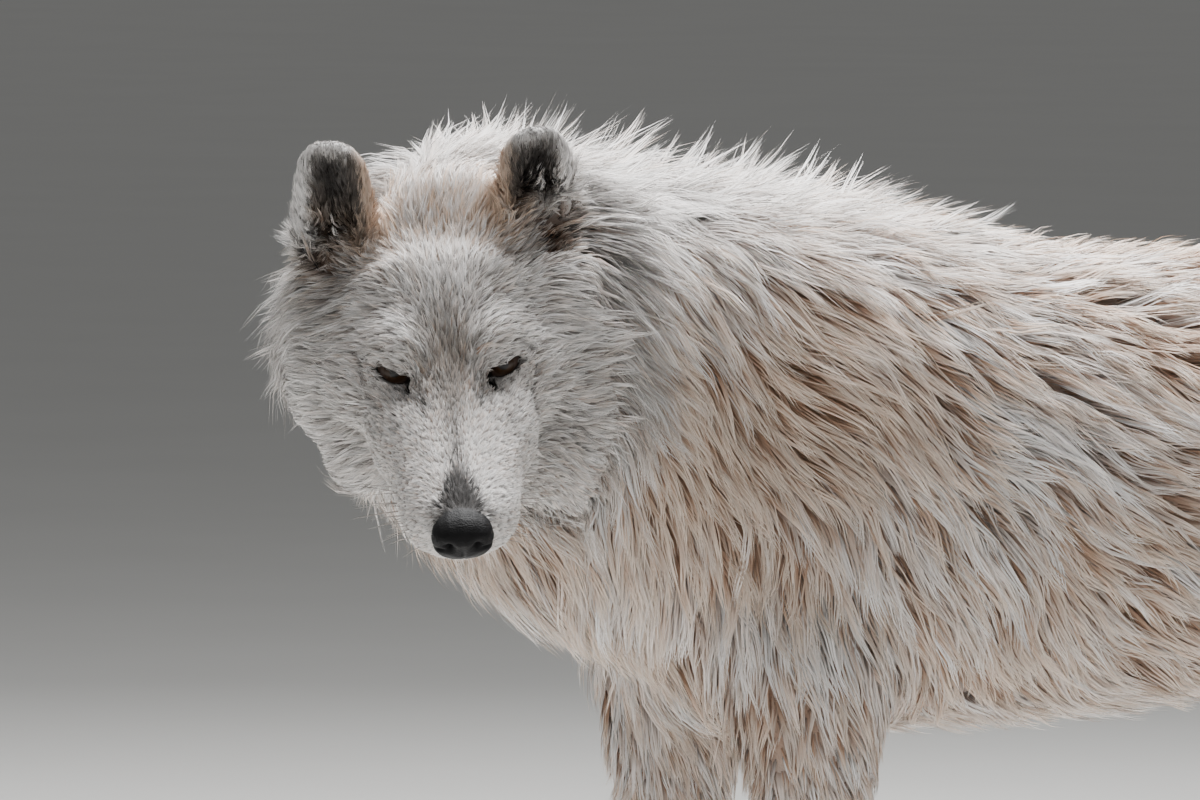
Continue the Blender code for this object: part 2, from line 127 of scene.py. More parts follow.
# %% Array helpers
def smooth_step(value, low, high):
    """0 below low, 1 above high, and a soft change between them."""
    share = np.clip((value - low) / (high - low), 0.0, 1.0)
    return share * share * (3.0 - 2.0 * share)


def unit(vectors):
    return vectors / np.maximum(np.linalg.norm(vectors, axis=-1, keepdims=True), 1e-9)


def flattened(vectors, normals):
    """The vectors' parts that lie along the surface, at unit length."""
    return unit(vectors - normals * (vectors * normals).sum(-1, keepdims=True))


def dome(at, centre, radii):
    """1 at the centre, falling to 0 at about these radii."""
    away = ((at - np.array(centre)) / np.array(radii)) ** 2
    return np.exp(-2.0 * away.sum(-1))


def mirrored_dome(at, centre, radii):
    """The same bump on both sides of the head."""
    other = (centre[0], -centre[1], centre[2])
    return dome(at, centre, radii) + dome(at, other, radii)


def mottle(points, size, seed):
    """A smooth random value near -1 to 1 that changes over about this size."""
    pick = np.random.default_rng(seed)
    waves = unit(pick.normal(size=(14, 3))) * pick.uniform(0.6, 1.7, (14, 1)) * 2 * math.pi / size
    return np.sin(points @ waves.T + pick.uniform(0, 2 * math.pi, 14)).sum(-1) / math.sqrt(14)


print("helpers for arrays of points ready")

# %% [markdown]
# ## Axes of the head and the ears
#
# Fur on the face is easiest to describe in the head's own axes: x forward along the muzzle, y to
# the wolf's left, z up, with the origin between the eyes. The head is turned to the wolf's left,
# bowed, and leans a little. Each ear has axes too: x across it, y to its back, z to its tip.

# %% Head and ear axes
HEAD_TURN = math.radians(57.8)
HEAD_PITCH = math.radians(29.0)
HEAD_ROLL = math.radians(4.0)
EYE_SPACING = 0.066
EYE_RADIUS = 0.0120
EYE_IN_HEAD = {hand: Vector((-0.0045, hand * EYE_SPACING / 2, 0.0025)) for hand in (1, -1)}
NOSE_IN_HEAD = (0.121, 0.0, -0.047)
EAR_HEIGHT = 0.077
EAR_SPREAD = 0.064
HANDS = {"left": 1, "right": -1}


def middle_of(node):
    low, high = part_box(node)
    return (low + high) / 2


head_turning = (Matrix.Rotation(HEAD_TURN, 3, "Z") @ Matrix.Rotation(math.radians(-90.0), 3, "Z")
                @ Matrix.Rotation(HEAD_ROLL, 3, "X") @ Matrix.Rotation(HEAD_PITCH, 3, "Y"))
between_eyes = (middle_of("eye_left") + middle_of("eye_right")) / 2
head_origin = between_eyes - head_turning @ Vector((EYE_IN_HEAD[1].x, 0.0, EYE_IN_HEAD[1].z))
HEAD = Matrix.Translation(head_origin) @ head_turning.to_4x4()


def ear_axes(hand):
    """Axes of one ear, with their origin at its base."""
    return (HEAD @ Matrix.Translation((-0.086, hand * EAR_SPREAD, 0.036))
            @ Matrix.Rotation(math.radians(-6.0), 4, "Y")
            @ Matrix.Rotation(math.radians(90.0 + 16.0 * hand), 4, "Z"))


def into(matrix, points):
    """World points in these axes."""
    back = np.array(matrix.inverted())
    return points @ back[:3, :3].T + back[:3, 3]


def turned(matrix, vectors):
    """Directions given in these axes, in world axes."""
    return vectors @ np.array(matrix)[:3, :3].T


def out_of(matrix, points):
    """Points given in these axes, in the world."""
    return turned(matrix, points) + np.array(matrix)[:3, 3]


print("between the eyes:", [round(value, 4) for value in head_origin])

# %% [markdown]
# ## The skin
#
# The frame's solids are parted by thin cuts, one for each part of the body. A real skin has no
# cuts, so copies of all the flesh solids are swollen by more than the gap and melted together by
# a voxel remesh. That also evens out the mesh, so each later step can work on neighbours.

# %% The flesh solids
EARS = ["ear_left", "ear_right"]
LEG_NODES = [f"{leg}_{side}_{part}" for leg, parts in
             (("foreleg", ("forearm", "pastern", "paw")), ("hindleg", ("thigh", "shank", "hock", "paw")))
             for side in HANDS for part in parts]
FLESH = ["head", "neck", "trunk", "tail"] + EARS + LEG_NODES
FILLERS = ["eye_left", "eye_right", "nose"]      # they close the head's pockets
SKIN_VOXEL = 0.0031
BODY_SHARE = 0.30       # share of the melted skin's faces kept where deep fur hides it
SWELL = 0.0007      # a little over half the cut between two solids
print("flesh:", len(FLESH), "solids")


# %% Melt and apply
def applied(piece):
    """Makes what the piece's modifiers show its own mesh."""
    graph = bpy.context.evaluated_depsgraph_get()
    mesh = bpy.data.meshes.new_from_object(piece.evaluated_get(graph))
    piece.modifiers.clear()
    old, piece.data = piece.data, mesh
    bpy.data.meshes.remove(old)
    return piece


def melted(piece, voxel, softening=0):
    """The piece as one closed surface of voxels of this size, smoothed this many times."""
    melt = piece.modifiers.new("melt", "REMESH")
    melt.mode = "VOXEL"
    melt.voxel_size = voxel
    if softening:
        soften = piece.modifiers.new("soften", "SMOOTH")
        soften.iterations = softening
    return applied(piece)


print("the voxels of a remesh set its finest detail:", SKIN_VOXEL * 1000, "mm here")


# %% One closed surface from the flesh solids
def joined_flesh():
    """All the flesh as one mesh, a tree to search it, and the part that each face came from."""
    joined, owners = bmesh.new(), []
    for name in FLESH + FILLERS:
        before = len(joined.faces)
        joined.from_mesh(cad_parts[name].data)
        number = FLESH.index("head" if name in FILLERS else name)
        owners += [number] * (len(joined.faces) - before)
    bmesh.ops.remove_doubles(joined, verts=joined.verts, dist=1e-6)
    joined.normal_update()
    for vert in joined.verts:
        vert.co += vert.normal * SWELL
    mesh = bpy.data.meshes.new("skin")
    tree = BVHTree.FromBMesh(joined)
    joined.to_mesh(mesh)
    owners = owners[:len(joined.faces)]
    joined.free()
    return placed("skin", mesh), tree, np.array(owners)


skin, outline, face_owner = joined_flesh()
melted(skin, SKIN_VOXEL)
before = len(skin.data.vertices)
places = np.array([tuple(vert.co) for vert in skin.data.vertices])
shaped = np.linalg.norm(into(HEAD, places) - np.array((-0.02, 0.0, 0.0)), axis=1) < 0.17
shaped |= places[:, 2] < 0.050      # the face and the toes keep every point
plain = skin.vertex_groups.new(name="plain")
for weight, chosen in ((0.001, shaped), (1.0, ~shaped)):
    plain.add(np.flatnonzero(chosen).tolist(), weight, "REPLACE")
thin = skin.modifiers.new("thin", "DECIMATE")
thin.ratio = BODY_SHARE
thin.vertex_group = "plain"
thin.vertex_group_factor = 1.0
applied(skin)
skin.vertex_groups.clear()
print("melted skin:", before, "points, thinned to", len(skin.data.vertices))

# %% [markdown]
# Everything that follows is worked out on arrays: the points, the edges between them, and for
# each point which solid it came from. Averaging each point with its neighbours a few times is
# how a sculptor's smooth brush works. The same averaging, used on a number instead of a place,
# spreads the choice "this is neck, that is trunk" into a soft change from one to the other.

# %% Points and neighbours
def array_of(collection, attribute, width, kind=float):
    """One attribute of every item, as an array with this many numbers to a row."""
    values = np.empty(len(collection) * width, kind)
    collection.foreach_get(attribute, values)
    return values.reshape(-1, width) if width > 1 else values


points = array_of(skin.data.vertices, "co", 3)
edges = array_of(skin.data.edges, "vertices", 2, np.int32)
skin.data.calc_loop_triangles()
triangles = array_of(skin.data.loop_triangles, "vertices", 3, np.int32)
neighbours = np.bincount(edges.ravel(), minlength=len(points)).astype(float)


def spread(values, rounds, share=0.5):
    """Each point's value moved towards the mean of its neighbours, this many times."""
    values = np.array(values, float)
    columns = values.reshape(len(values), -1)
    for _ in range(rounds):
        total = np.stack([
            np.bincount(edges[:, 0], column[edges[:, 1]], len(columns))
            + np.bincount(edges[:, 1], column[edges[:, 0]], len(columns))
            for column in columns.T], 1)
        columns = columns * (1 - share) + share * total / neighbours[:, None]
    return columns.reshape(values.shape)


def normals_of(places):
    """Each point's normal, averaged over its triangles by their area."""
    sides = places[triangles]
    across = np.cross(sides[:, 1] - sides[:, 0], sides[:, 2] - sides[:, 0])
    total = np.stack([sum(np.bincount(triangles[:, corner], across[:, axis], len(places))
                          for corner in range(3)) for axis in range(3)], 1)
    return unit(total)


print("neighbours of a point:", round(float(neighbours.mean()), 1), "on average")


# %% Soft shares of the regions
def ruff_edge(at):
    """Half width of the face out to the ruff's edge, at each height on the head."""
    return np.interp(at[:, 2], [-0.150, -0.120, -0.090, -0.052, -0.007, 0.037, 0.070, 0.110],
                     [0.052, 0.074, 0.095, 0.113, 0.111, 0.102, 0.094, 0.085])


def face_zone(at):
    """1 on the face as far as the ruff's edge, 0 behind it, for points in the head's axes."""
    side = np.abs(at[:, 1])
    lowest = np.interp(side, [0.0, 0.050, 0.080, 0.110], [-0.098, -0.106, -0.122, -0.115])
    return (smooth_step(ruff_edge(at) + 0.002 - side, -0.014, 0.014)
            * smooth_step(at[:, 0], -0.150, -0.105) * smooth_step(at[:, 2] - lowest, -0.018, 0.018)
            * smooth_step(0.23 - np.linalg.norm(at, axis=1), 0.0, 0.02))


owner = np.array([face_owner[outline.find_nearest(Vector(p))[2]] for p in points])
SOFTENING = 24
share_of = dict(zip(FLESH, spread(np.eye(len(FLESH))[owner], SOFTENING).T))
for side in HANDS:      # the ears keep a sharp border, or their fur would blur into the crown's
    share_of["ear_" + side] = spread(owner == FLESH.index("ear_" + side), 3)
both, zone = share_of["head"] + share_of["neck"], face_zone(into(HEAD, points))
share_of["head"], share_of["neck"] = both * zone, both * (1 - zone)
print("regions:", {name: int((owner == number).sum()) for number, name in enumerate(FLESH)})

# %% [markdown]
# ## Depth of the coat
#
# A winter wolf looks heavy, but much of it is fur: 26 mm deep on the back as it lies, 36 mm on
# the neck, and only a few millimetres on the muzzle and the feet. The skin is the outline sunk
# by that depth, in several small moves with smoothing between them, so that narrow places such
# as the tail and the legs shrink evenly and never turn inside out.

# %% Sink the outline to the skin
DEPTH = {"neck": 0.036, "trunk": 0.026, "tail": 0.026, "thigh": 0.018, "shank": 0.009,
         "hock": 0.005, "forearm": 0.010, "pastern": 0.005, "paw": 0.004, "ear": 0.0014}


def named_share(word):
    """The share of all parts with this word in their names."""
    return sum(share for name, share in share_of.items() if word in name.split("_"))


def head_depth(at):
    """Depth of the fur on the head, for points in the head's axes."""
    side = np.abs(at[:, 1])
    muzzle = smooth_step(at[:, 0], 0.000, 0.040)
    cheek = smooth_step(-at[:, 0], 0.035, 0.100) * smooth_step(side, 0.030, 0.075)
    back = smooth_step(-at[:, 0], 0.090, 0.130)
    throat = smooth_step(-at[:, 0], 0.020, 0.090) * smooth_step(-at[:, 2], 0.050, 0.090)
    crown = smooth_step(-at[:, 0], 0.030, 0.100)
    below_nose = 0.009 * smooth_step(0.0165 - np.linalg.norm(at - np.array(NOSE_IN_HEAD), axis=1), 0.0, 0.005)
    deep = 0.0035 + 0.0045 * crown + 0.014 * np.maximum(cheek, throat) + 0.008 * back
    return deep * (1 - muzzle) + 0.0018 * muzzle + below_nose


in_head = into(HEAD, points)
depth = share_of["head"] * head_depth(in_head)
depth += sum(deep * named_share(word) for word, deep in DEPTH.items())
tail_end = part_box("tail")[0].z      # the flesh stops short of the tip, and only hair goes on to it
depth *= 1 - 0.45 * named_share("tail") * smooth_step(tail_end + 0.110 - points[:, 2], 0.0, 0.06)
depth *= 1 - 0.40 * dome(in_head, (-0.150, 0.0, 0.060), (0.060, 0.090, 0.060))      # crown into nape
depth = spread(depth, 12)

SINKING_MOVES = 8
skin_points = spread(points, 2)
for _ in range(SINKING_MOVES):
    skin_points = skin_points - normals_of(skin_points) * (depth / SINKING_MOVES)[:, None]
    smoothed = spread(skin_points, 2)
    fine = (share_of["head"] + named_share("ear"))[:, None].clip(0, 1)
    skin_points = smoothed * (1 - 0.85 * fine) + skin_points * 0.85 * fine
below = (named_share("tail") > 0.5) & (skin_points[:, 2] < tail_end + 0.070)
skin_points[below, 2] = tail_end + 0.070 + 0.35 * (skin_points[below, 2] - tail_end - 0.070)
print("coat depth from", round(depth.min() * 1000, 1), "to", round(depth.max() * 1000, 1), "mm")

# %% [markdown]
# ## Folds of the face
#
# Fur on a wolf's face is short enough to show what is under it. The brows overhang the eyes and
# give the stern look, a shallow groove runs up the middle of the forehead, and the cheekbone
# stands out below the eye with a hollow under it. These are pushed into the skin as smooth bumps
# and grooves in the head's axes, which a table can hold and a sculpting brush can't repeat. The
# ruff behind the cheeks and the hollows before the ears are made in the same move.

# %% Sculpt the head
def before_ear(places):
    """1 where the inside of an ear runs down into the fur before it, 0 elsewhere."""
    return sum(dome(into(ear_axes(hand), places), (0.004 * hand, -0.010, 0.006), (0.023, 0.026, 0.028))
               for hand in HANDS.values())


FOLDS = (      # height in metres, then middle and radii in the head's axes; off the midline, both sides
    (0.0040, (-0.006, 0.034, 0.0205), (0.020, 0.024, 0.009)),      # brow ridge
    (0.0018, (0.004, 0.015, 0.019), (0.014, 0.009, 0.012)),        # its inner end
    (-0.0026, (-0.010, 0.0, 0.030), (0.040, 0.008, 0.030)),        # forehead groove
    (-0.0058, (0.016, 0.025, -0.004), (0.022, 0.011, 0.013)),      # inner corner hollow
    (-0.0040, (0.006, 0.054, -0.040), (0.040, 0.022, 0.018)),      # hollow below the cheekbone
    (0.0016, (-0.008, 0.046, -0.018), (0.024, 0.016, 0.010)),      # cheekbone
    (-0.0014, (0.060, 0.036, -0.035), (0.040, 0.010, 0.010)),      # side of the muzzle
    (0.0014, (0.092, 0.026, -0.051), (0.022, 0.012, 0.012)),       # whisker pad
)


def domes(at, rows):
    """The sum of these bumps and hollows; a row off the midline stands on both sides."""
    total = np.zeros(len(at))
    for height, centre, radii in rows:
        total += height * (mirrored_dome if centre[1] else dome)(at, centre, radii)
    return total


at = into(HEAD, skin_points)
push = domes(at, FOLDS)
behind_face = smooth_step(-at[:, 0], 0.030, 0.070) * smooth_step(0.20 - np.linalg.norm(at, axis=1), 0.0, 0.04)
past_edge = np.abs(at[:, 1]) - ruff_edge(at)
ruff = (0.0050 * np.exp(-((past_edge + 0.016) / 0.016) ** 2)
        - 0.0040 * np.exp(-((past_edge - 0.018) / 0.018) ** 2))
push -= 0.0075 * before_ear(skin_points)
push = push * share_of["head"] + ruff * behind_face * smooth_step(0.045 - at[:, 2], 0.0, 0.02)
skin_points = skin_points + normals_of(skin_points) * push[:, None]
print("head sculpted on", int((share_of["head"] > 0.5).sum()), "points")

# %% [markdown]
# ## Paws and hocks
#
# A wolf stands on four large toes of each foot, with its wrists and heels well off the ground.
# The gaps between the toes, the knuckles, the wrist and the point of the hock are pressed in or
# pushed out with the same smooth bumps, in the axes of each paw. Toes of their own would have to
# be joined to the skin, and bumps on it need no joining. The pads carry no fur, so at the end the
# soles are let down to the floor.

# %% Sculpt the paws, wrists and hocks
TOES = ((-0.029, -0.036, 0.0165), (-0.0115, -0.056, 0.0185),      # across, ahead and size
        (0.0115, -0.056, 0.0185), (0.029, -0.036, 0.0165))
PAW_SCALES = {f"{leg}_{side}_paw": scale
              for leg, scale in (("foreleg", 1.06), ("hindleg", 0.98)) for side in HANDS}


def paw_origin(node):
    """The place on the floor that a paw's toes are measured from."""
    low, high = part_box(node)
    return np.array(((low.x + high.x) / 2, low.y + (0.056 + 0.0185 * 1.35) * PAW_SCALES[node], 0.0))


def toe_gaps(places):
    """1 in the gaps between the toes, 0 elsewhere."""
    total = 0.0
    for node, scale in PAW_SCALES.items():
        at = (places - paw_origin(node)) / scale
        for across, ahead in ((-0.0205, -0.052), (0.0, -0.064), (0.0205, -0.052)):
            total = total + dome(at, (across, ahead, 0.018), (0.0058, 0.026, 0.030))
    return total


push = -0.0100 * toe_gaps(skin_points)
for node, scale in PAW_SCALES.items():
    at = (skin_points - paw_origin(node)) / scale
    push += 0.0016 * dome(at, (0.0, -0.030, 0.046), (0.030, 0.022, 0.012))            # knuckles
    if node.startswith("foreleg"):
        push += 0.0040 * dome(at, (0.0, -0.036, 0.165), (0.030, 0.030, 0.026))        # wrist
        push -= 0.0030 * dome(at, (0.0, 0.030, 0.215), (0.040, 0.030, 0.040))
        push += 0.0030 * dome(at, (0.0, 0.030, 0.150), (0.016, 0.020, 0.014))         # wrist pad
    else:
        low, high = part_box(node.replace("paw", "hock"))
        heel = ((low.x + high.x) / 2, high.y - 0.012, high.z - 0.012)
        push += 0.0055 * dome(skin_points, heel, (0.020, 0.022, 0.026))               # point of the hock
        for hand in HANDS.values():
            push -= 0.0042 * dome(skin_points, (heel[0] + hand * 0.024, heel[1] - 0.022, heel[2] + 0.060),
                                  (0.018, 0.018, 0.050))                              # before the tendon
skin_points = skin_points + normals_of(skin_points) * push[:, None]
for node in PAW_SCALES:      # the pads carry no fur and rest on the floor
    low = share_of[node] > 0.5
    heights = skin_points[low, 2]
    skin_points[low, 2] = heights - heights.min() * smooth_step(0.030 - heights, 0.0, 0.022)
print("lowest point of the skin:", round(float(skin_points[:, 2].min()) * 1000, 2), "mm")

# %% [markdown]
# ## Lids
#
# A wolf's lids lie on the eyeball and end in a dark bare rim. The opening is a slanted almond,
# its upper edge nearly straight and low, its inner corner drawn out and down into the tear
# duct. Each pair of lids is one loft: its first ring is the rim on the eyeball, its last ring
# lies just under the skin of the brow and cheek, and the rings between them ease from one to
# the other. The lids join the skin's arrays, so that fur can grow on them too.

# %% Openings of the eyes
SOCKET_RADIUS = 0.0106
EYE_SLANT = math.radians(24.0)
EYE_OUT = math.radians(28.0)     # the sockets face outwards, though the eyes look ahead
OPENING_MIDDLE = -0.0042         # measured along the opening, from the eyeball's middle
LID_STEPS = 64
LID_RINGS = 10
RIM_RINGS = 2
OPENING = {"outer": 0.0124, "inner": 0.0122, "over": 0.0058, "under": 0.0018}
PULLED = (0.0190, 0.0118)        # half length and half height of the skin behind the lids
LID_EDGE = (0.0228, 0.0152)      # half length and half height of the loft's last ring


def eye_axes(hand):
    """Out of the socket, along the opening to its outer corner, and over it, in the head's axes."""
    forward = Vector((math.cos(EYE_OUT), hand * math.sin(EYE_OUT), 0.0))
    level = Vector((-math.sin(EYE_OUT), hand * math.cos(EYE_OUT), 0.0))
    along = level * math.cos(EYE_SLANT) + Vector((0.0, 0.0, math.sin(EYE_SLANT)))
    return [np.array(axis) for axis in (forward, along, hand * forward.cross(along))]


def depth_seen(tree, forward, places, start=0.05):
    """How far out of the socket the surface lies beyond each place, in the head's axes."""
    to_world = HEAD.to_3x3()
    way = -(to_world @ Vector(forward))
    hits = [tree.ray_cast(HEAD @ Vector(place + forward * start), way, 0.09) for place in places]
    return np.array([start - hit[3] if hit[0] is not None else 0.0 for hit in hits])


def off_the_eye(at, hand):
    """Shares out of the socket, along and over it, from the opening's middle."""
    forward, along, over = eye_axes(hand)
    off = at - np.array(EYE_IN_HEAD[hand])
    return off @ forward, off @ along - OPENING_MIDDLE, off @ over


print("eye openings:", round((OPENING["outer"] + OPENING["inner"]) * 1000, 1), "mm long")


# %% Rings of the lids
def lids(hand, face_tree):
    """Points of the lids' rings, one ring after another from the rim outwards."""
    centre = np.array(EYE_IN_HEAD[hand])
    forward, along, over = eye_axes(hand)
    angle = np.arange(LID_STEPS) * 2 * math.pi / LID_STEPS
    c, s = np.cos(angle), np.sin(angle)
    rim_x = c * np.where(c > 0, OPENING["outer"], OPENING["inner"])
    rim_y = np.where(s > 0, OPENING["over"] * np.abs(s) ** 0.80, -OPENING["under"] * np.abs(s) ** 1.10)
    rim_y = rim_y - 0.0010 * smooth_step(-rim_x, 0.006, OPENING["inner"])
    edge_x, edge_y = LID_EDGE[0] * c, LID_EDGE[1] * s
    rings, rim_deep = [], None
    for ring in range(LID_RINGS + 1):
        far = ring / LID_RINGS
        wide = 0.12 * far + 0.88 * far ** 1.6
        x = rim_x + (edge_x - rim_x) * wide + OPENING_MIDDLE
        y = rim_y + (edge_y - rim_y) * wide
        seen = depth_seen(face_tree, forward, centre + x[:, None] * along + y[:, None] * over)
        past = np.sqrt(x ** 2 + y ** 2)
        ball = np.sqrt(np.maximum((EYE_RADIUS + 0.0002) ** 2 - past ** 2, 0.0))
        if ring == 0:
            free = smooth_step(past, 0.0085, 0.0118)     # beyond the eyeball the rim lies in the face
            rim_deep = ball * (1 - free) + np.clip(seen - 0.0012, 0.0, 0.0125) * free
        rise = smooth_step(far, 0.0, 0.62)
        deep = rim_deep * (1 - rise) + (seen + 0.0004) * rise
        lift = np.where(s > 0, 0.0016, 0.0009) * np.sin(math.pi * min(far * 1.3, 1.0)) * np.abs(s)
        cover = np.where(past < EYE_RADIUS, ball + 0.0009 * min(far * 4, 1.0), 0.0)
        deep = np.maximum(deep + lift, cover)
        rings.append(centre + x[:, None] * along + y[:, None] * over + deep[:, None] * forward)
    return np.concatenate(rings)


def ring_faces(rings, steps):
    """Triangles between neighbouring closed rings."""
    start = np.arange(rings)[:, None] * steps
    this, after = np.arange(steps)[None], (np.arange(steps)[None] + 1) % steps
    a, b, c, d = start + this, start + after, start + steps + after, start + steps + this
    return np.concatenate([np.stack([a, b, c], -1).reshape(-1, 3), np.stack([a, c, d], -1).reshape(-1, 3)])


def ring_edges(rings, steps):
    start = np.arange(rings + 1)[:, None] * steps
    this, after = np.arange(steps)[None], (np.arange(steps)[None] + 1) % steps
    round_it = np.stack([start + this, start + after], -1).reshape(-1, 2)
    outward = np.stack([start[:-1] + this, start[1:] + this], -1).reshape(-1, 2)
    return np.concatenate([round_it, outward])


print("each pair of lids:", LID_RINGS + 1, "rings of", LID_STEPS, "points")

# %% Pull the skin back and join the lids to it
face_tree = BVHTree.FromPolygons(skin_points.tolist(), triangles.tolist())
rim = np.zeros(len(skin_points))
for hand, centre in EYE_IN_HEAD.items():
    at = into(HEAD, skin_points)
    out, along, over = off_the_eye(at, hand)
    near = np.linalg.norm(at - np.array(centre), axis=1) < 0.045
    behind = ((along / PULLED[0]) ** 2 + (over / PULLED[1]) ** 2 < 1.0) & (out > 0.0) & near
    back = np.sqrt(np.maximum(SOCKET_RADIUS ** 2 - (along + OPENING_MIDDLE) ** 2 - over ** 2, 0.0))
    moved = at + np.where(behind, np.minimum(back - out, 0.0), 0.0)[:, None] * eye_axes(hand)[0]
    skin_points = out_of(HEAD, moved)
    rim[behind] = 1.0
hidden = rim.copy()      # skin that the lids cover, where no fur grows
for hand in HANDS.values():
    rings = out_of(HEAD, lids(hand, face_tree))
    faces = ring_faces(LID_RINGS, LID_STEPS)
    first = rings[faces[0]]
    facing = np.cross(first[1] - first[0], first[2] - first[0]) @ np.array(HEAD)[:3, 0]
    faces = faces if facing > 0 else faces[:, ::-1]
    triangles = np.concatenate([triangles, faces + len(skin_points)])
    edges = np.concatenate([edges, ring_edges(LID_RINGS, LID_STEPS) + len(skin_points)])
    skin_points = np.concatenate([skin_points, rings])
    for name, share in share_of.items():
        share_of[name] = np.concatenate([share, np.full(len(rings), float(name == "head"))])
    depth = np.concatenate([depth, np.full(len(rings), 0.0032)])
    ring_number = np.repeat(np.arange(LID_RINGS + 1), LID_STEPS)
    rim = np.concatenate([rim, smooth_step(RIM_RINGS + 1.0 - ring_number, 0.0, 1.5)])
    hidden = np.concatenate([hidden, np.zeros(len(rings))])
neighbours = np.bincount(edges.ravel(), minlength=len(skin_points)).astype(float)
skin_normals = normals_of(skin_points)
print("skin with lids:", len(triangles), "triangles")

# %% [markdown]
# ## The lie of the coat
#
# Hair grows in streams. They start at the nose, part over the forehead and sweep out over the
# brows and cheeks, run down the neck and shoulders, back along the trunk, and down the legs and
# tail. Each region gets a plain direction, weighted by the soft shares above, laid flat on the
# skin and averaged with its neighbours, which makes streams that bend from one region into the
# next. Hair curves on a guide mesh would do this too, but a field of arrows over the skin needs
# no combing by hand and gives the same coat every time.

# %% Directions for the head and the ears
NOSE_TIP = np.array((0.118, 0.0, -0.038))


def face_lie(at):
    """Directions on the head, in the head's axes."""
    side, outward = np.abs(at[:, 1]), np.sign(at[:, 1])
    lie = unit(at - NOSE_TIP)
    lie[:, 1] += outward * 0.9 * smooth_step(side, 0.004, 0.030) * smooth_step(at[:, 0], -0.020, 0.090)
    lie[:, 1] += outward * 0.45 * smooth_step(side, 0.010, 0.050) * smooth_step(0.03 - at[:, 0], 0.0, 0.05)
    lie[:, 2] -= 0.35 * smooth_step(side, 0.030, 0.070) + 0.20 * smooth_step(-at[:, 2], 0.0, 0.06)
    turn = math.radians(92.0) * smooth_step(side, 0.002, 0.040)
    turn = turn * (1 - 0.55 * smooth_step(at[:, 2], 0.026, 0.060))
    turn = turn + math.radians(30.0) * smooth_step(side, 0.050, 0.085)
    fan = np.stack([-0.50 * np.cos(turn) - 0.35 * np.sin(turn), outward * np.sin(turn),
                    0.86 * np.cos(turn)], 1)
    upper = smooth_step(at[:, 2], -0.004, 0.016) * smooth_step(0.030 - at[:, 0], 0.0, 0.030)
    lie = unit(lie * (1 - upper)[:, None] + fan * upper[:, None])
    edge = np.exp(-((side - ruff_edge(at)) / 0.022) ** 2) * smooth_step(-at[:, 0], 0.0, 0.04)
    off_face = np.stack([np.full(len(at), -0.35), 0.9 * outward, np.full(len(at), -0.35)], 1)
    return unit(lie + edge[:, None] * off_face)


def ear_lie(at):
    """Directions on an ear, in its axes: up to the tip and out over the rims."""
    return unit(np.stack([at[:, 0] * 14.0, np.where(at[:, 1] < 0, -0.35, 0.10),
                          np.full(len(at), 0.9)], 1))


def stream(*direction):
    """One direction, for every point of the skin."""
    return np.tile(np.array(direction, float), (len(skin_points), 1))


# %% Directions for the body
along_body = skin_points[:, 1]
dip = np.interp(along_body, [-0.50, -0.42, -0.34, -0.20, 0.0, 0.30, 0.50],
                np.radians([66.0, 62.0, 55.0, 42.0, 27.0, 22.0, 40.0]))
low_down = smooth_step(0.62 - skin_points[:, 2], 0.0, 0.14) * smooth_step(-0.12 - along_body, 0.0, 0.16)
dip = dip + low_down * np.radians(28.0)
body_lie = np.stack([np.zeros_like(dip), np.cos(dip), -np.sin(dip)], 1)
parting = 0.25 * np.sign(skin_points[:, 0]) * smooth_step(np.abs(skin_points[:, 0]), 0.01, 0.06)
neck_lie = body_lie + np.stack([parting, np.zeros_like(dip), np.zeros_like(dip)], 1)
lie = share_of["head"][:, None] * turned(HEAD, face_lie(into(HEAD, skin_points)))
lie += share_of["neck"][:, None] * neck_lie + share_of["trunk"][:, None] * body_lie
for words, direction in ((("tail",), (0.0, 0.30, -1.0)), (("thigh",), (0.0, 0.45, -0.9)),
                         (("shank", "forearm"), (0.0, 0.22, -1.0)), (("hock", "pastern"), (0.0, 0.03, -1.0)),
                         (("paw",), (0.0, -0.75, -0.65))):
    lie += sum(named_share(word) for word in words)[:, None] * stream(*direction)
for side, hand in HANDS.items():
    axes = ear_axes(hand)
    ear_share = share_of["ear_" + side][:, None].clip(0, 1)
    lie = lie * (1 - ear_share) + ear_share * turned(axes, ear_lie(into(axes, skin_points)))
lie = flattened(lie, skin_normals)
far_from_face = smooth_step(np.linalg.norm(into(HEAD, skin_points) - (0.02, 0.0, 0.0), axis=1), 0.075, 0.115)
far_from_face = (far_from_face * (1 - named_share("ear").clip(0, 1)))[:, None]
smoothed = flattened(spread(lie, 5), skin_normals)
lie = flattened(smoothed * (1 - far_from_face) + spread(smoothed, 14) * far_from_face, skin_normals)
bend = 0.20 * mottle(skin_points, 0.085, 11) * (named_share("trunk") + named_share("neck")).clip(0, 1)
lie = flattened(lie + np.cross(skin_normals, lie) * bend[:, None], skin_normals)
print("lie of the coat set on", len(lie), "points")
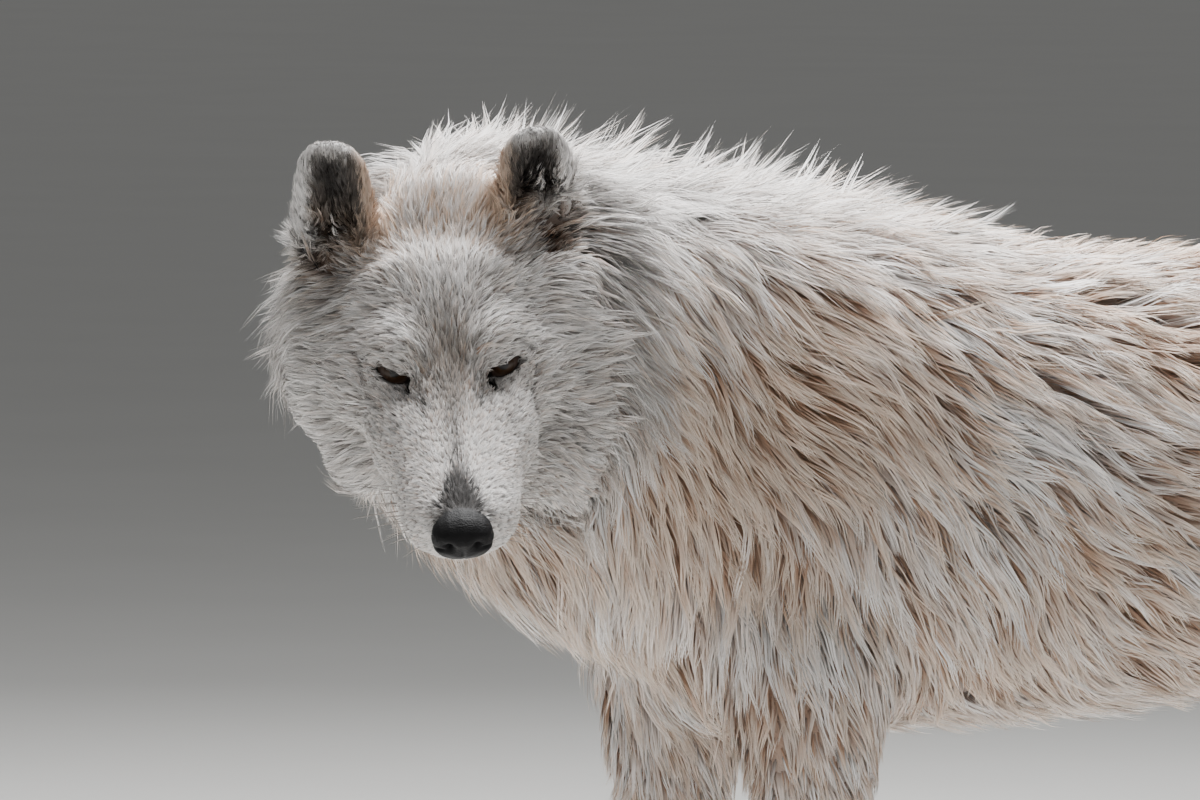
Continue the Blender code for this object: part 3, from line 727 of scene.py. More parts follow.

# %% [markdown]
# ## Markings
#
# An arctic wolf is white, but not one white. The tips are bleached, the hair below them is cream
# to tan on the neck, shoulders and back, the ears are brown-grey inside with pale rims, a warm
# buff lies between them, a grey smudge between the eyes, a dark streak above the nose and dark
# tear marks. Some of the grey and dark is painted shade: a grey over the face, grey in the hollows
# beside the eyes, under the cheekbones and between the toes, and dark in the ears' hollows. Each
# marking is a number from 0 to 1 at a place on the body, so that the skin and the roots of the
# hair ask the same functions and always agree.

# %% Markings of the head and the body
def markings_at(places):
    """Shares of tan, buff, grey and dark at world places."""
    at = into(HEAD, places)
    side = np.abs(at[:, 1])
    on_head = face_zone(at)
    flow = np.stack([places[:, 0], places[:, 1] * 0.55, places[:, 2] * 1.25], 1)
    patches = mottle(flow, 0.16, 3) * 0.55 + mottle(flow, 0.055, 4) * 0.50
    topline = smooth_step(places[:, 2], 0.690, 0.745)
    low_chest = smooth_step(0.50 - places[:, 2], 0.0, 0.16)
    hind = smooth_step(places[:, 1], 0.02, 0.30)
    tan = np.clip(0.76 + 0.46 * patches + 0.20 * hind, 0, 1) * (1 - 0.80 * topline) * (1 - 0.30 * low_chest)
    legs = smooth_step(0.40 - places[:, 2], 0.0, 0.10) * (np.abs(places[:, 1] - 0.05) < 0.55)
    tan = tan * (1 - 0.85 * on_head) * (1 - 0.70 * legs)
    behind_cheek = dome(places, (0.085, -0.40, 0.55), (0.10, 0.10, 0.14))
    tan = np.clip(tan + 0.55 * behind_cheek * (0.6 + 0.5 * mottle(flow, 0.05, 5)), 0, 1)
    buff = 0.95 * mirrored_dome(at, (-0.080, 0.036, 0.062), (0.040, 0.020, 0.034))
    buff += 0.50 * dome(at, (-0.080, 0.0, 0.060), (0.040, 0.040, 0.026))
    # A grey over the whole face, less on the muzzle and on top of the head, strongest at the hairs' roots:
    # painted shade of the face below its lit top and of the gaps between its hairs.
    grey = on_head * (0.26 - 0.20 * smooth_step(at[:, 0], 0.02, 0.05)
                      - 0.16 * smooth_step(at[:, 2], 0.030, 0.055))
    grey += 0.95 * dome(at, (0.020, 0.0, 0.001), (0.034, 0.017, 0.024))
    grey += 0.45 * dome(at, (-0.004, 0.0, 0.022), (0.036, 0.020, 0.024))
    # Painted shade below and behind the outer corners of the eyes.
    grey += 0.30 * mirrored_dome(at, (-0.020, 0.052, -0.006), (0.030, 0.020, 0.012))
    # Painted shade in the hollows below the cheekbones.
    grey += 0.45 * mirrored_dome(at, (-0.006, 0.062, -0.044), (0.040, 0.022, 0.026))
    grey += 0.50 * dome(at, (0.045, 0.0, -0.004), (0.045, 0.007, 0.040))
    streak_width = 0.0020 + 0.0120 * smooth_step(at[:, 0], 0.066, 0.112)
    streak = smooth_step(at[:, 0], 0.015, 0.096) * smooth_step(streak_width - side, -0.005, 0.005)
    dark = 0.98 * streak * (at[:, 2] > -0.040)
    dark += 0.80 * mirrored_dome(at, (0.027, 0.0170, -0.004), (0.014, 0.0045, 0.0085))     # tear marks
    dark += 0.55 * mirrored_dome(at, (0.035, 0.0340, -0.0115), (0.010, 0.0032, 0.0050))  # whisker spots
    dark += 0.40 * mirrored_dome(at, (0.038, 0.0240, -0.0090), (0.010, 0.0022, 0.0040))
    tan = tan + 0.60 * dome(at, (0.012, 0.0, 0.006), (0.044, 0.019, 0.032))
    root = (1.25 * before_ear(places)).clip(0, 1) * on_head
    tan, dark = tan + 0.95 * root, dark + 0.56 * root
    # The grey between the toes is painted shade in the gaps.
    buff, grey = buff * (1 - root) * on_head, grey * (1 - 0.6 * root) * on_head + 0.7 * toe_gaps(places)
    return [np.clip(value, 0, 1) for value in (tan, buff, grey, dark)]


between = markings_at(np.array([tuple(head_origin)]))
print("marks between the eyes:", [round(float(value[0]), 2) for value in between])


# %% Markings of the ears
def ear_markings(places, hand):
    """Tan, buff, grey and dark on one ear: brown inside, pale rims, and a smoky tip."""
    at = into(ear_axes(hand), places)
    height = at[:, 2] / EAR_HEIGHT
    outer = at[:, 0] * hand / np.interp(at[:, 2], [0.0, 0.030, 0.055, 0.070, 0.080],
                                        [0.0245, 0.0240, 0.0215, 0.0170, 0.0110])
    front = smooth_step(0.0068 + 0.0045 * smooth_step(0.62 - height, 0.0, 0.25) - at[:, 1], 0.0, 0.003)
    inside = front * smooth_step(0.66 - outer, 0.0, 0.22) * smooth_step(0.93 + outer, 0.0, 0.22)
    inside = inside * smooth_step(0.93 - height, 0.0, 0.16) * smooth_step(height, -0.35, -0.10)
    flecks = 0.5 + 0.5 * mottle(at * (1.0, 1.0, 0.4), 0.007, 21)
    tip = smooth_step(height, 0.80, 0.98) * (0.75 if hand > 0 else 0.30) * flecks
    # Darker along the middle of the ear's hollow: painted shade in its depth, over the brown inside.
    fold = np.exp(-((outer - 0.05) / 0.22) ** 2)
    darkest = 0.60 + 0.40 * smooth_step(height, 0.20, 0.50)
    dark = np.clip(inside * (0.88 + 0.12 * fold) * darkest + tip, 0, 1)
    tan = inside * (0.35 + 0.65 * smooth_step(0.75 - height, 0.0, 0.50))
    inner_edge = smooth_step(-outer, 0.25, 0.90) * smooth_step(0.90 - height, 0.0, 0.2)
    return [tan, 0.85 * inner_edge * (1 - tip), 0.15 + 0.45 * inside, dark]


print("an ear is", round(EAR_HEIGHT * 1000), "mm tall")

# %% Marks on every point of the skin
MARKS = ("tan", "buff", "grey", "dark")
marks = np.stack(markings_at(skin_points), 1)
for side, hand in HANDS.items():
    ear_share = share_of["ear_" + side][:, None].clip(0, 1)
    marks = marks * (1 - ear_share) + ear_share * np.stack(ear_markings(skin_points, hand), 1)
marks[:, MARKS.index("dark")] = np.maximum(marks[:, MARKS.index("dark")], rim)
print("mean shares:", {name: round(float(value), 2) for name, value in zip(MARKS, marks.mean(0))})

# %% [markdown]
# ## Finish of the hair and the skin
#
# Hair is keratin (IOR about 1.55), smooth along its length but never polished, so its roughness
# is high and its shine soft. White hair is not painted white: it is clear and scatters the light,
# which a very pale colour stands for here. Each hair is darkest at its root, where little light
# gets in: that darkening is painted shade over the hair's own white or tan, and the skin under
# deep fur is painted in nearly that dark root colour. Each hair is bleached at its tip. The number
# "along" (0 at the root, 1 at the tip) is kept on each hair and drives that change, and "shade"
# makes each lock a little lighter or darker.

# %% Colours of the hair
WHITE_TIP = "#F3F0EE"
CREAM_TIP = "#E6D5C4"
TAN_HAIR = "#BC9980"
BUFF_HAIR = "#D6B08C"
GREY_AND_SHADE_HAIR = "#7E7974"
DARK_HAIR = "#1C1714"
# The roots: the hair's own white or tan, darkened as painted shade of the coat's depth.
SHADED_WHITE_ROOT = "#837F7C"
SHADED_TAN_ROOT = "#94735C"
print("white tips in linear values:", [round(value, 3) for value in linear(WHITE_TIP)[:3]])


# %% Material of the coat
def coat_colour(tree, along):
    """The hair's colour at this share of its length, with all the markings."""
    tan, buff, grey, dark = (add_node(tree, "Attribute", {"attribute_name": mark}, "Fac") for mark in MARKS)
    bleached = add_node(tree, "Math", {"operation": "MULTIPLY", 0: tan, 1: 0.90}, 0)
    root, middle, tip = (
        add_node(tree, "Mix", {"data_type": "RGBA", 0: share, 6: white, 7: coloured}, 2)
        for share, white, coloured in ((tan, SHADED_WHITE_ROOT, SHADED_TAN_ROOT), (tan, WHITE_TIP, TAN_HAIR),
                                       (bleached, WHITE_TIP, CREAM_TIP)))
    lower, upper, paler = (
        add_node(tree, "MapRange", {"From Min": low, "From Max": high, "To Min": start, "To Max": end,
                                    "Value": along}, 0)
        for low, high, start, end in ((0.0, 0.45, 0.0, 1.0), (0.35, 0.85, 0.0, 1.0), (0.3, 1.0, 0.95, 0.45)))
    some_buff = add_node(tree, "Math", {"operation": "MULTIPLY", 0: buff, 1: 0.80}, 0)
    some_grey_and_shade = add_node(tree, "Math", {"operation": "MULTIPLY", 0: grey, 1: paler}, 0)
    colour = root
    for share, next_colour in ((lower, middle), (upper, tip), (some_buff, BUFF_HAIR),
                               (some_grey_and_shade, GREY_AND_SHADE_HAIR), (dark, DARK_HAIR)):
        colour = add_node(tree, "Mix", {"data_type": "RGBA", 0: share, 6: colour, 7: next_colour}, 2)
    return colour


def shaded(tree, colour, shade, reach):
    """The colour made lighter or darker by a shade from -1 to 1."""
    value = add_node(tree, "Math", {"operation": "MULTIPLY_ADD", 0: shade, 1: reach, 2: 1.0}, 0)
    return add_node(tree, "HueSaturation", {"Value": value, "Color": colour}, 0)


coat_finish, tree, shader = new_finish("wolf_hair", {      # matt, with a soft sheen along each lock
    "Roughness": 0.58, "IOR": 1.55, "Specular IOR Level": 0.35})
along, shade = (add_node(tree, "Attribute", {"attribute_name": name}, "Fac") for name in ("along", "shade"))
tree.links.new(shaded(tree, coat_colour(tree, along), shade, 0.30), shader.inputs["Base Color"])
print("coat finish:", coat_finish.name)

# %% Material of the skin
skin_finish, tree, shader = new_finish("furred_skin", {      # dull, like the woolly hair under the coat
    "Roughness": 0.75, "IOR": 1.45, "Specular IOR Level": 0.25})
place = add_node(tree, "TexCoord", output="Object")
underfur, patch = (      # woolly grain about 1 mm across, and patches of 17 mm
    add_node(tree, "TexNoise", {"Scale": scale, "Detail": detail, "Vector": place}, "Fac")
    for scale, detail in ((900.0, 3.0), (60.0, 4.0)))
short = add_node(tree, "Attribute", {"attribute_name": "short"}, "Fac")
# Under deep fur the skin takes the hair's dark colour from near the root, where the fur is short a paler one:
# painted shade of the coat over the skin.
under_fur_shade, patch_shade = (
    add_node(tree, "Math", {"operation": "MULTIPLY_ADD", "use_clamp": True, 0: value, 1: by, 2: plus}, 0)
    for value, by, plus in ((short, 0.40, 0.28), (patch, 1.0, -0.5)))
tree.links.new(shaded(tree, coat_colour(tree, under_fur_shade), patch_shade, 0.35), shader.inputs["Base Color"])
bump = add_node(tree, "Bump", {"Strength": 0.6, "Distance": 0.0012, "Height": underfur}, 0)
tree.links.new(bump, shader.inputs["Normal"])
print("skin finish:", skin_finish.name)

# %% Put the markings on the skin
def set_attribute(mesh, name, values):
    """Keeps a number with each point of the mesh, where a material can read it."""
    layer = mesh.attributes.new(name, "FLOAT", "POINT")
    layer.data.foreach_set("value", np.asarray(values, np.float32))


def mesh_of(name, points, faces):
    """A mesh from arrays of points and triangles."""
    mesh = bpy.data.meshes.new(name)
    mesh.vertices.add(len(points))
    mesh.vertices.foreach_set("co", points.astype(np.float32).ravel())
    mesh.loops.add(len(faces) * 3)
    mesh.loops.foreach_set("vertex_index", faces.astype(np.int32).ravel())
    mesh.polygons.add(len(faces))
    mesh.polygons.foreach_set("loop_start", np.arange(0, len(faces) * 3, 3, dtype=np.int32))
    mesh.update(calc_edges=True)
    return mesh


skin.data = mesh_of("skin", skin_points, triangles)
for name, values in zip(MARKS, marks.T):
    set_attribute(skin.data, name, values)
set_attribute(skin.data, "short", smooth_step(0.006 - depth, 0.0, 0.004))
finished(skin, "body_coat", skin_finish)
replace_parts(skin, *FLESH)
print("skin:", len(triangles), "triangles, in place of", len(FLESH), "solids")

# %% [markdown]
# ## Growing locks
#
# Hair on a damp wolf gathers into locks: a handful of strands that start apart and meet in a
# point. Each lock is drawn first as one guide line that walks over the skin along the stream,
# rising from the skin to the top of the coat as it goes. Then strands are set around the guide,
# drawn in towards it at the tip. A strand is a ribbon that tapers to nothing, 0.6 to 1.5 mm wide
# and so coarser than a real hair, which would be too fine to show. Each is turned a little at
# random so that the light catches it differently. Blender's own hair can't leave it as a solid
# mesh, and ribbons cost only a few triangles each.
#
# A walk over the skin needs the nearest point of the skin at each step. A BVH tree finds that
# quickly, and it answers with a face, whose direction and normal are looked up in arrays.

# %% Faces to plant on
body_tree = BVHTree.FromPolygons(skin_points.tolist(), triangles.tolist())
corner_places = skin_points[triangles]
face_cross = np.cross(corner_places[:, 1] - corner_places[:, 0], corner_places[:, 2] - corner_places[:, 0])
face_area = np.linalg.norm(face_cross, axis=1) / 2
face_normal = unit(skin_normals[triangles].sum(1))
face_lie_way = flattened(lie[triangles].sum(1), face_normal)
face_middle = corner_places.mean(1)


def on_faces(values):
    """Values on the points, averaged on each face."""
    return values[triangles].mean(1)


face_depth = on_faces(depth)


def roots_on(faces, pick):
    """A random place on each of these faces."""
    a, b = pick.random(len(faces)), pick.random(len(faces))
    fold = a + b > 1
    a, b = np.where(fold, 1 - a, a), np.where(fold, 1 - b, b)
    corners = corner_places[faces]
    return (corners[:, 0] + (corners[:, 1] - corners[:, 0]) * a[:, None]
            + (corners[:, 2] - corners[:, 0]) * b[:, None])


print("skin area:", round(float(face_area.sum()), 3), "m2")


# %% Guides that walk over the skin
def nearest(places):
    """The nearest place on the skin and its face, for each place."""
    found = [body_tree.find_nearest(place) for place in places.tolist()]
    return np.array([tuple(hit[0]) for hit in found]), np.array([hit[2] for hit in found])


def walk(faces, roots, length, steps, stray, stiff):
    """Guides over the skin: places, normals and directions at each step. Past the end of a tail
    or an ear a guide goes straight on."""
    place, face = roots, faces
    ways, normals, places = [], [], []
    free = np.zeros(len(faces), bool)
    for step in range(steps + 1):
        normal = face_normal[face]
        way = face_lie_way[face]
        way = flattened(way + np.cross(normal, way) * stray[:, None], normal)
        if step:
            way = flattened(way * (1 - stiff) + ways[-1] * stiff, normal)
            way, normal = np.where(free[:, None], ways[-1], way), np.where(free[:, None], normals[-1], normal)
        places.append(place), normals.append(normal), ways.append(way)
        if step < steps:
            wanted = place + way * (length / steps)[:, None]
            place, face = nearest(wanted)
            past_end = np.linalg.norm(wanted - place, axis=1) > 0.5 * length / steps
            free = (free | past_end) & (wanted[:, 2] > 0.012)
            place = np.where(free[:, None], wanted, place)
    return [np.stack(rows, 1) for rows in (places, normals, ways)]


print("guides walk over", len(face_normal), "faces")

# %% [markdown]
# ## From guides to ribbons
#
# The next function makes every strand of a region at once. The arrays have three levels: lock,
# strand in the lock, and step along the strand. Rise sets how a strand leaves the skin: 1 is a
# straight line that ends at the top of the coat with its tip standing out, and a higher number
# rises early and then lies along the body. The normals are bent out to each side of a ribbon,
# which makes a flat ribbon catch the light as a round hair does.

# %% Ribbons
def ribbons(guide, look, pick):
    """Points, faces, normals, shares along and lock numbers of a region's strands."""
    places, normals, ways = guide
    locks, steps = places.shape[0], places.shape[1] - 1
    strands = look["strands"]
    t = np.linspace(0, 1, steps + 1)[None, None, :, None]
    n, w = normals[:, None], ways[:, None]
    side = np.cross(n, w)
    apart = pick.normal(0, 0.5, (locks, strands, 1, 2)) * look["spread"]
    gather = 1 - look["clump"] * t ** 0.8
    short = pick.uniform(0.78, 1.0, (locks, strands, 1, 1))
    height = look["height"][:, None, None, None] * pick.uniform(0.80, 1.06, (locks, strands, 1, 1))
    rise = 1 - (1 - t) ** look["rise"]
    phase = pick.uniform(0, 2 * math.pi, (locks, 1, 1, 1)) + pick.normal(0, 0.35, (locks, strands, 1, 1))
    wave = look["wave"] * t * np.sin(phase + t * look["turns"] * 2 * math.pi)
    line = places[:, None] + side * (apart[..., :1] * gather + wave) + w * apart[..., 1:] * gather
    line = line + n * (rise * height + 0.35 * np.cos(phase + t * look["turns"] * 4) * look["wave"] * t)
    line = line[:, :, :1] + (line - line[:, :, :1]) * short
    along = unit(np.gradient(line, axis=2))
    twist = pick.normal(0, look["twist"], (locks, strands, 1, 1))
    across = unit(np.cross(n + 0 * along, along))
    out = unit(np.cross(along, across))
    across = unit(across * np.cos(twist) + out * np.sin(twist))
    face_out = unit(np.cross(along, across))
    width = look["width"] * pick.uniform(0.75, 1.25, (locks, strands, 1, 1)) / 2
    width = width * (1 - t ** 1.8) ** 0.9
    left, right = line - across * width, line + across * width
    soft = unit(n * look["skin_light"] + face_out * (1 - look["skin_light"]))
    turn = across * look["round"]
    count = 2 * steps + 1
    cloud = np.empty((locks, strands, count, 3))
    bent = np.empty_like(cloud)
    cloud[:, :, 0:-1:2], cloud[:, :, 1::2] = left[:, :, :-1], right[:, :, :-1]
    bent[:, :, 0:-1:2], bent[:, :, 1::2] = (soft - turn)[:, :, :-1], (soft + turn)[:, :, :-1]
    cloud[:, :, -1], bent[:, :, -1] = line[:, :, -1], soft[:, :, -1]
    share = np.repeat(t.ravel()[:-1], 2).tolist() + [1.0]
    first = (np.arange(locks * strands) * count)[:, None]
    faces = []
    for step in range(steps - 1):
        low = 2 * step
        faces += [first + [low, low + 3, low + 1], first + [low, low + 2, low + 3]]
    faces.append(first + [count - 3, count - 1, count - 2])
    return {"points": cloud.reshape(-1, 3), "normals": unit(bent.reshape(-1, 3)),
            "faces": np.stack(faces, 1).reshape(-1, 3),
            "along": np.tile(np.array(share), locks * strands),
            "edge": np.tile(np.array([0.0, 1.0] * steps + [0.5]), locks * strands),
            "lock": np.repeat(np.arange(locks), strands * count)}


print("a strand of n steps has 2n - 1 triangles")

# %% [markdown]
# ## An unwrap for the locks
#
# When the coat's colours are stored in an image, each lock needs its own small patch of it. The
# skin is laid out flat around the middle line of the part it belongs to: once round the line is
# the width of the image, along the line is its height. A lock's patch is a small square at its
# root's place in that layout, with its strands running up the square from root to tip.

# %% Lock patches
PATCH = 0.003


def unwrapped(places, line_start, line_end, top):
    """Angle round a middle line and share along it, both within the image."""
    start, end = np.array(line_start, float), np.array(line_end, float)
    axis = unit(end - start)
    up = flattened(np.array(top, float), axis)
    side = np.cross(axis, up)
    away = places - start
    angle = np.arctan2(away @ side, away @ up) / (2 * math.pi) + 0.5
    height = away @ axis
    height = (height - height.min()) / max(np.ptp(height), 1e-6)
    return np.stack([angle, height], 1) * (1 - 3 * PATCH) + 1.5 * PATCH


def coat_piece(name, slot, made, root_map, root_marks, shade):
    """One joined mesh of ribbons with its markings, its patches and its rounded normals."""
    mesh = mesh_of(name, made["points"], made["faces"])
    for mark, values in zip(MARKS, root_marks.T):
        set_attribute(mesh, mark, values[made["lock"]])
    set_attribute(mesh, "along", made["along"])
    set_attribute(mesh, "shade", shade[made["lock"]])
    patch = np.stack([made["edge"], made["along"]], 1) * PATCH - PATCH / 2 + root_map[made["lock"]]
    layer = mesh.uv_layers.new(name="OFBake")
    layer.data.foreach_set("uv", patch[made["faces"].ravel()].astype(np.float32).ravel())
    finished(placed(name, mesh), slot, coat_finish)
    mesh.normals_split_custom_set_from_vertices(made["normals"].astype(np.float32))
    print(name + ":", len(made["faces"]), "triangles")


print("locks have patches of", PATCH)

# %% [markdown]
# ## Regions of the coat
#
# The hair's length and fineness change over the body, so the coat is planted region by region:
# each has its length, its width, how many strands make a lock, how they gather, and how many
# locks stand on a square metre. The shares of the skin's parts say where each region grows, and
# they overlap softly, so that one kind of hair runs out while the next begins.

# %% Where each region grows
face_in_head = into(HEAD, face_middle)
head_face = on_faces(share_of["head"])
ear_face = on_faces(named_share("ear")).clip(0, 1)
side_face = np.abs(face_in_head[:, 1])
muzzle_share = smooth_step(face_in_head[:, 0], 0.008, 0.030) * head_face
cheek_share = (smooth_step(side_face, 0.050, 0.068) + smooth_step(-face_in_head[:, 2], 0.045, 0.070)
               + smooth_step(-face_in_head[:, 0], 0.085, 0.120)).clip(0, 1)
cheek_share = cheek_share * smooth_step(0.010 - face_in_head[:, 0], 0.0, 0.030) * head_face
brow_share = (head_face - muzzle_share - cheek_share).clip(0, 1)
neck_face, trunk_face, tail_face = (on_faces(named_share(word)) for word in ("neck", "trunk", "tail"))
upper_leg = on_faces(named_share("thigh")
                     + named_share("forearm") * smooth_step(skin_points[:, 2], 0.36, 0.42))
feet = on_faces(named_share("paw"))
lower_leg = (on_faces(sum(named_share(word) for word in ("shank", "hock", "forearm", "pastern"))) - upper_leg
             + on_faces(named_share("thigh"))).clip(0, 1)
upper_leg = upper_leg.clip(0, 1)
nape_share = (smooth_step(face_normal[:, 2], 0.25, 0.60) * smooth_step(face_middle[:, 2], 0.715, 0.740)
              * smooth_step(-0.430 - face_middle[:, 1], 0.0, 0.05) * neck_face)
past_face = side_face - ruff_edge(face_in_head)
ruff_share = (np.exp(-((past_face + 0.004) / 0.019) ** 2) * smooth_step(-face_in_head[:, 0], 0.010, 0.040)
              * smooth_step(0.050 - face_in_head[:, 2], 0.0, 0.03)
              * smooth_step(face_in_head[:, 2], -0.150, -0.125)
              * smooth_step(face_in_head[:, 0], -0.150, -0.120) * (head_face + neck_face).clip(0, 1))
crown_share = (smooth_step(-face_in_head[:, 0], 0.070, 0.095) * smooth_step(face_in_head[:, 2], 0.030, 0.055)
               * smooth_step(face_in_head[:, 0], -0.150, -0.130) * smooth_step(0.062 - side_face, 0.0, 0.015)
               * (head_face + neck_face).clip(0, 1) * (1 - ear_face))
crest_share = (smooth_step(face_normal[:, 2], 0.45, 0.80) * smooth_step(-0.14 - face_middle[:, 1], 0.0, 0.10)
               * (neck_face + trunk_face).clip(0, 1))
print("region areas, m2:", {name: round(float((share * face_area).sum()), 3) for name, share in (
    ("muzzle", muzzle_share), ("brow", brow_share), ("cheek", cheek_share), ("ears", ear_face),
    ("neck", neck_face), ("trunk", trunk_face), ("tail", tail_face),
    ("upper leg", upper_leg), ("lower leg", lower_leg), ("feet", feet))})


# %% [markdown]
# ## Where no fur grows
#
# The eyes with their rims, the nose, the lips and the pads are bare. Each is a share from 0 to 1
# at a place, so that a lock neither starts there nor ends over it. The line of the closed lips
# comes from rays sent at the muzzle from all round it, so that it lies exactly on the skin; drawn
# by hand it would float or sink. Round the eyes and at the ears' tips the fur gets shorter first.

# %% Bare places: eyes, nose and lips
def bare_near(points, centre, radius):
    """0 near this centre and 1 from about this radius on."""
    return smooth_step(np.linalg.norm(points - np.array(centre), axis=1), radius * 0.75, radius * 1.1)


def eye_clear(at):
    """0 over the open eyes and their rims, 1 elsewhere, for points in the head's axes."""
    clear = np.ones(len(at))
    for hand in EYE_IN_HEAD:
        out, along, over = off_the_eye(at, hand)
        over = over - 0.0018 + 0.0010 * smooth_step(-along, 0.006, 0.0122)
        near = (along / 0.0138) ** 2 + (over / 0.0044) ** 2 + 9.0 * (np.abs(out - 0.008) > 0.012)
        clear = clear * smooth_step(near, 0.90, 1.10)
    return clear


def lip_line():
    """The closed mouth's line over the skin, from one corner round the front to the other."""
    heights = ((0.020, -0.0600), (0.035, -0.0630), (0.070, -0.0665), (0.100, -0.0680))
    aims = []
    for x in np.linspace(0.026, 0.090, 16):
        aims.append(((x, 0.0), 90.0, np.interp(x, *zip(*heights))))
    aims += [((0.090, 0.0), 90.0 - turn, -0.0676) for turn in np.linspace(7, 90, 12)]
    half = []
    for (x, y), turn, z in aims:
        way = Vector((math.cos(math.radians(turn)), math.sin(math.radians(turn)), 0.0))
        start = HEAD @ (Vector((x, y, z)) + way * 0.12)
        hit = body_tree.ray_cast(start, -(HEAD.to_3x3() @ way))[0]
        if hit is not None:
            half.append(np.array(HEAD.inverted() @ hit))
    half = np.array(half)
    for _ in range(3):
        half[1:-1] = (half[:-2] + 2 * half[1:-1] + half[2:]) / 4
    half[-1, 1] = 0.0
    other = half[-2::-1] * np.array((1.0, -1.0, 1.0))
    both = np.concatenate([half, other])
    return out_of(HEAD, both)


lip_path = lip_line()
print("lips:", len(lip_path), "points,",
      round(float(np.linalg.norm(np.diff(lip_path, axis=0), axis=1).sum()), 3), "m round the mouth")


def lip_clear(places):
    """0 within the width of the lips, 1 elsewhere."""
    close = np.ones(len(places))
    near = np.flatnonzero(np.linalg.norm(places - lip_path.mean(0), axis=1) < 0.12)
    gap = np.linalg.norm(places[near, None] - lip_path[None], axis=2).min(1)
    close[near] = smooth_step(gap, 0.0012, 0.0026)
    return close


# %% Where the fur is short or absent
open_skin = eye_clear(face_in_head) * bare_near(face_in_head, NOSE_IN_HEAD, 0.0185) * (on_faces(hidden) < 0.5)
short_face = 1 - 0.75 * (1.6 * before_ear(face_middle)).clip(0, 1) * (1 - ear_face)
for hand in EYE_IN_HEAD:
    out, along, over = off_the_eye(face_in_head, hand)
    off_rim = (along / 0.0150) ** 2 + (over / 0.0075) ** 2 + 9.0 * (np.abs(out - 0.008) > 0.014)
    short_face = short_face * (0.34 + 0.66 * smooth_step(off_rim, 0.8, 3.2))
    up_ear = into(ear_axes(hand), face_middle)[:, 2] / EAR_HEIGHT
    short_face = short_face * (1 - 0.60 * smooth_step(up_ear, 0.80, 1.0) * ear_face)
furred_foot = smooth_step(face_middle[:, 2] + 0.010 * face_normal[:, 2], 0.002, 0.006)
print("faces with no fur:", int((open_skin < 0.5).sum()))

# %% Looks of the regions
# Middle lines: start, end, and the way that is up on the flat layout.
HEAD_LINE = (HEAD @ Vector((-0.14, 0, -0.02)), HEAD @ Vector((0.12, 0, -0.04)),
             HEAD.to_3x3() @ Vector((0, 0, 1)))
BODY_LINE = ((0, -0.50, 0.60), (0, 0.50, 0.58), (0, 0, 1))
NECK_LINE = ((0.03, -0.52, 0.66), (0, -0.28, 0.60), (0, 0, 1))
TAIL_LINE = ((0, 0.53, 0.62), (0.01, 0.58, 0.22), (0, 1, 0))
ABUNDANCE = 1.0

# The look of a region: the length of a lock, the steps along it, the strands in it, how far they
# start apart (spread) and what share of that they lose by the tip (clump), how they leave the skin
# (rise), how far and how often they wave, and a strand's width. A lock strays from the stream by
# stray and keeps the share stiff of its last direction. Most regions share the rest: strands
# turned at random by twist (radians), lit partly as the skin is (skin_light) and partly as a
# round hair is (round), and standing lift times as high as the coat is deep.
COMMON = dict(twist=0.50, skin_light=0.40, round=0.35, turns=1.0, wave=0.0, lift=0.95, stiff=0.0)
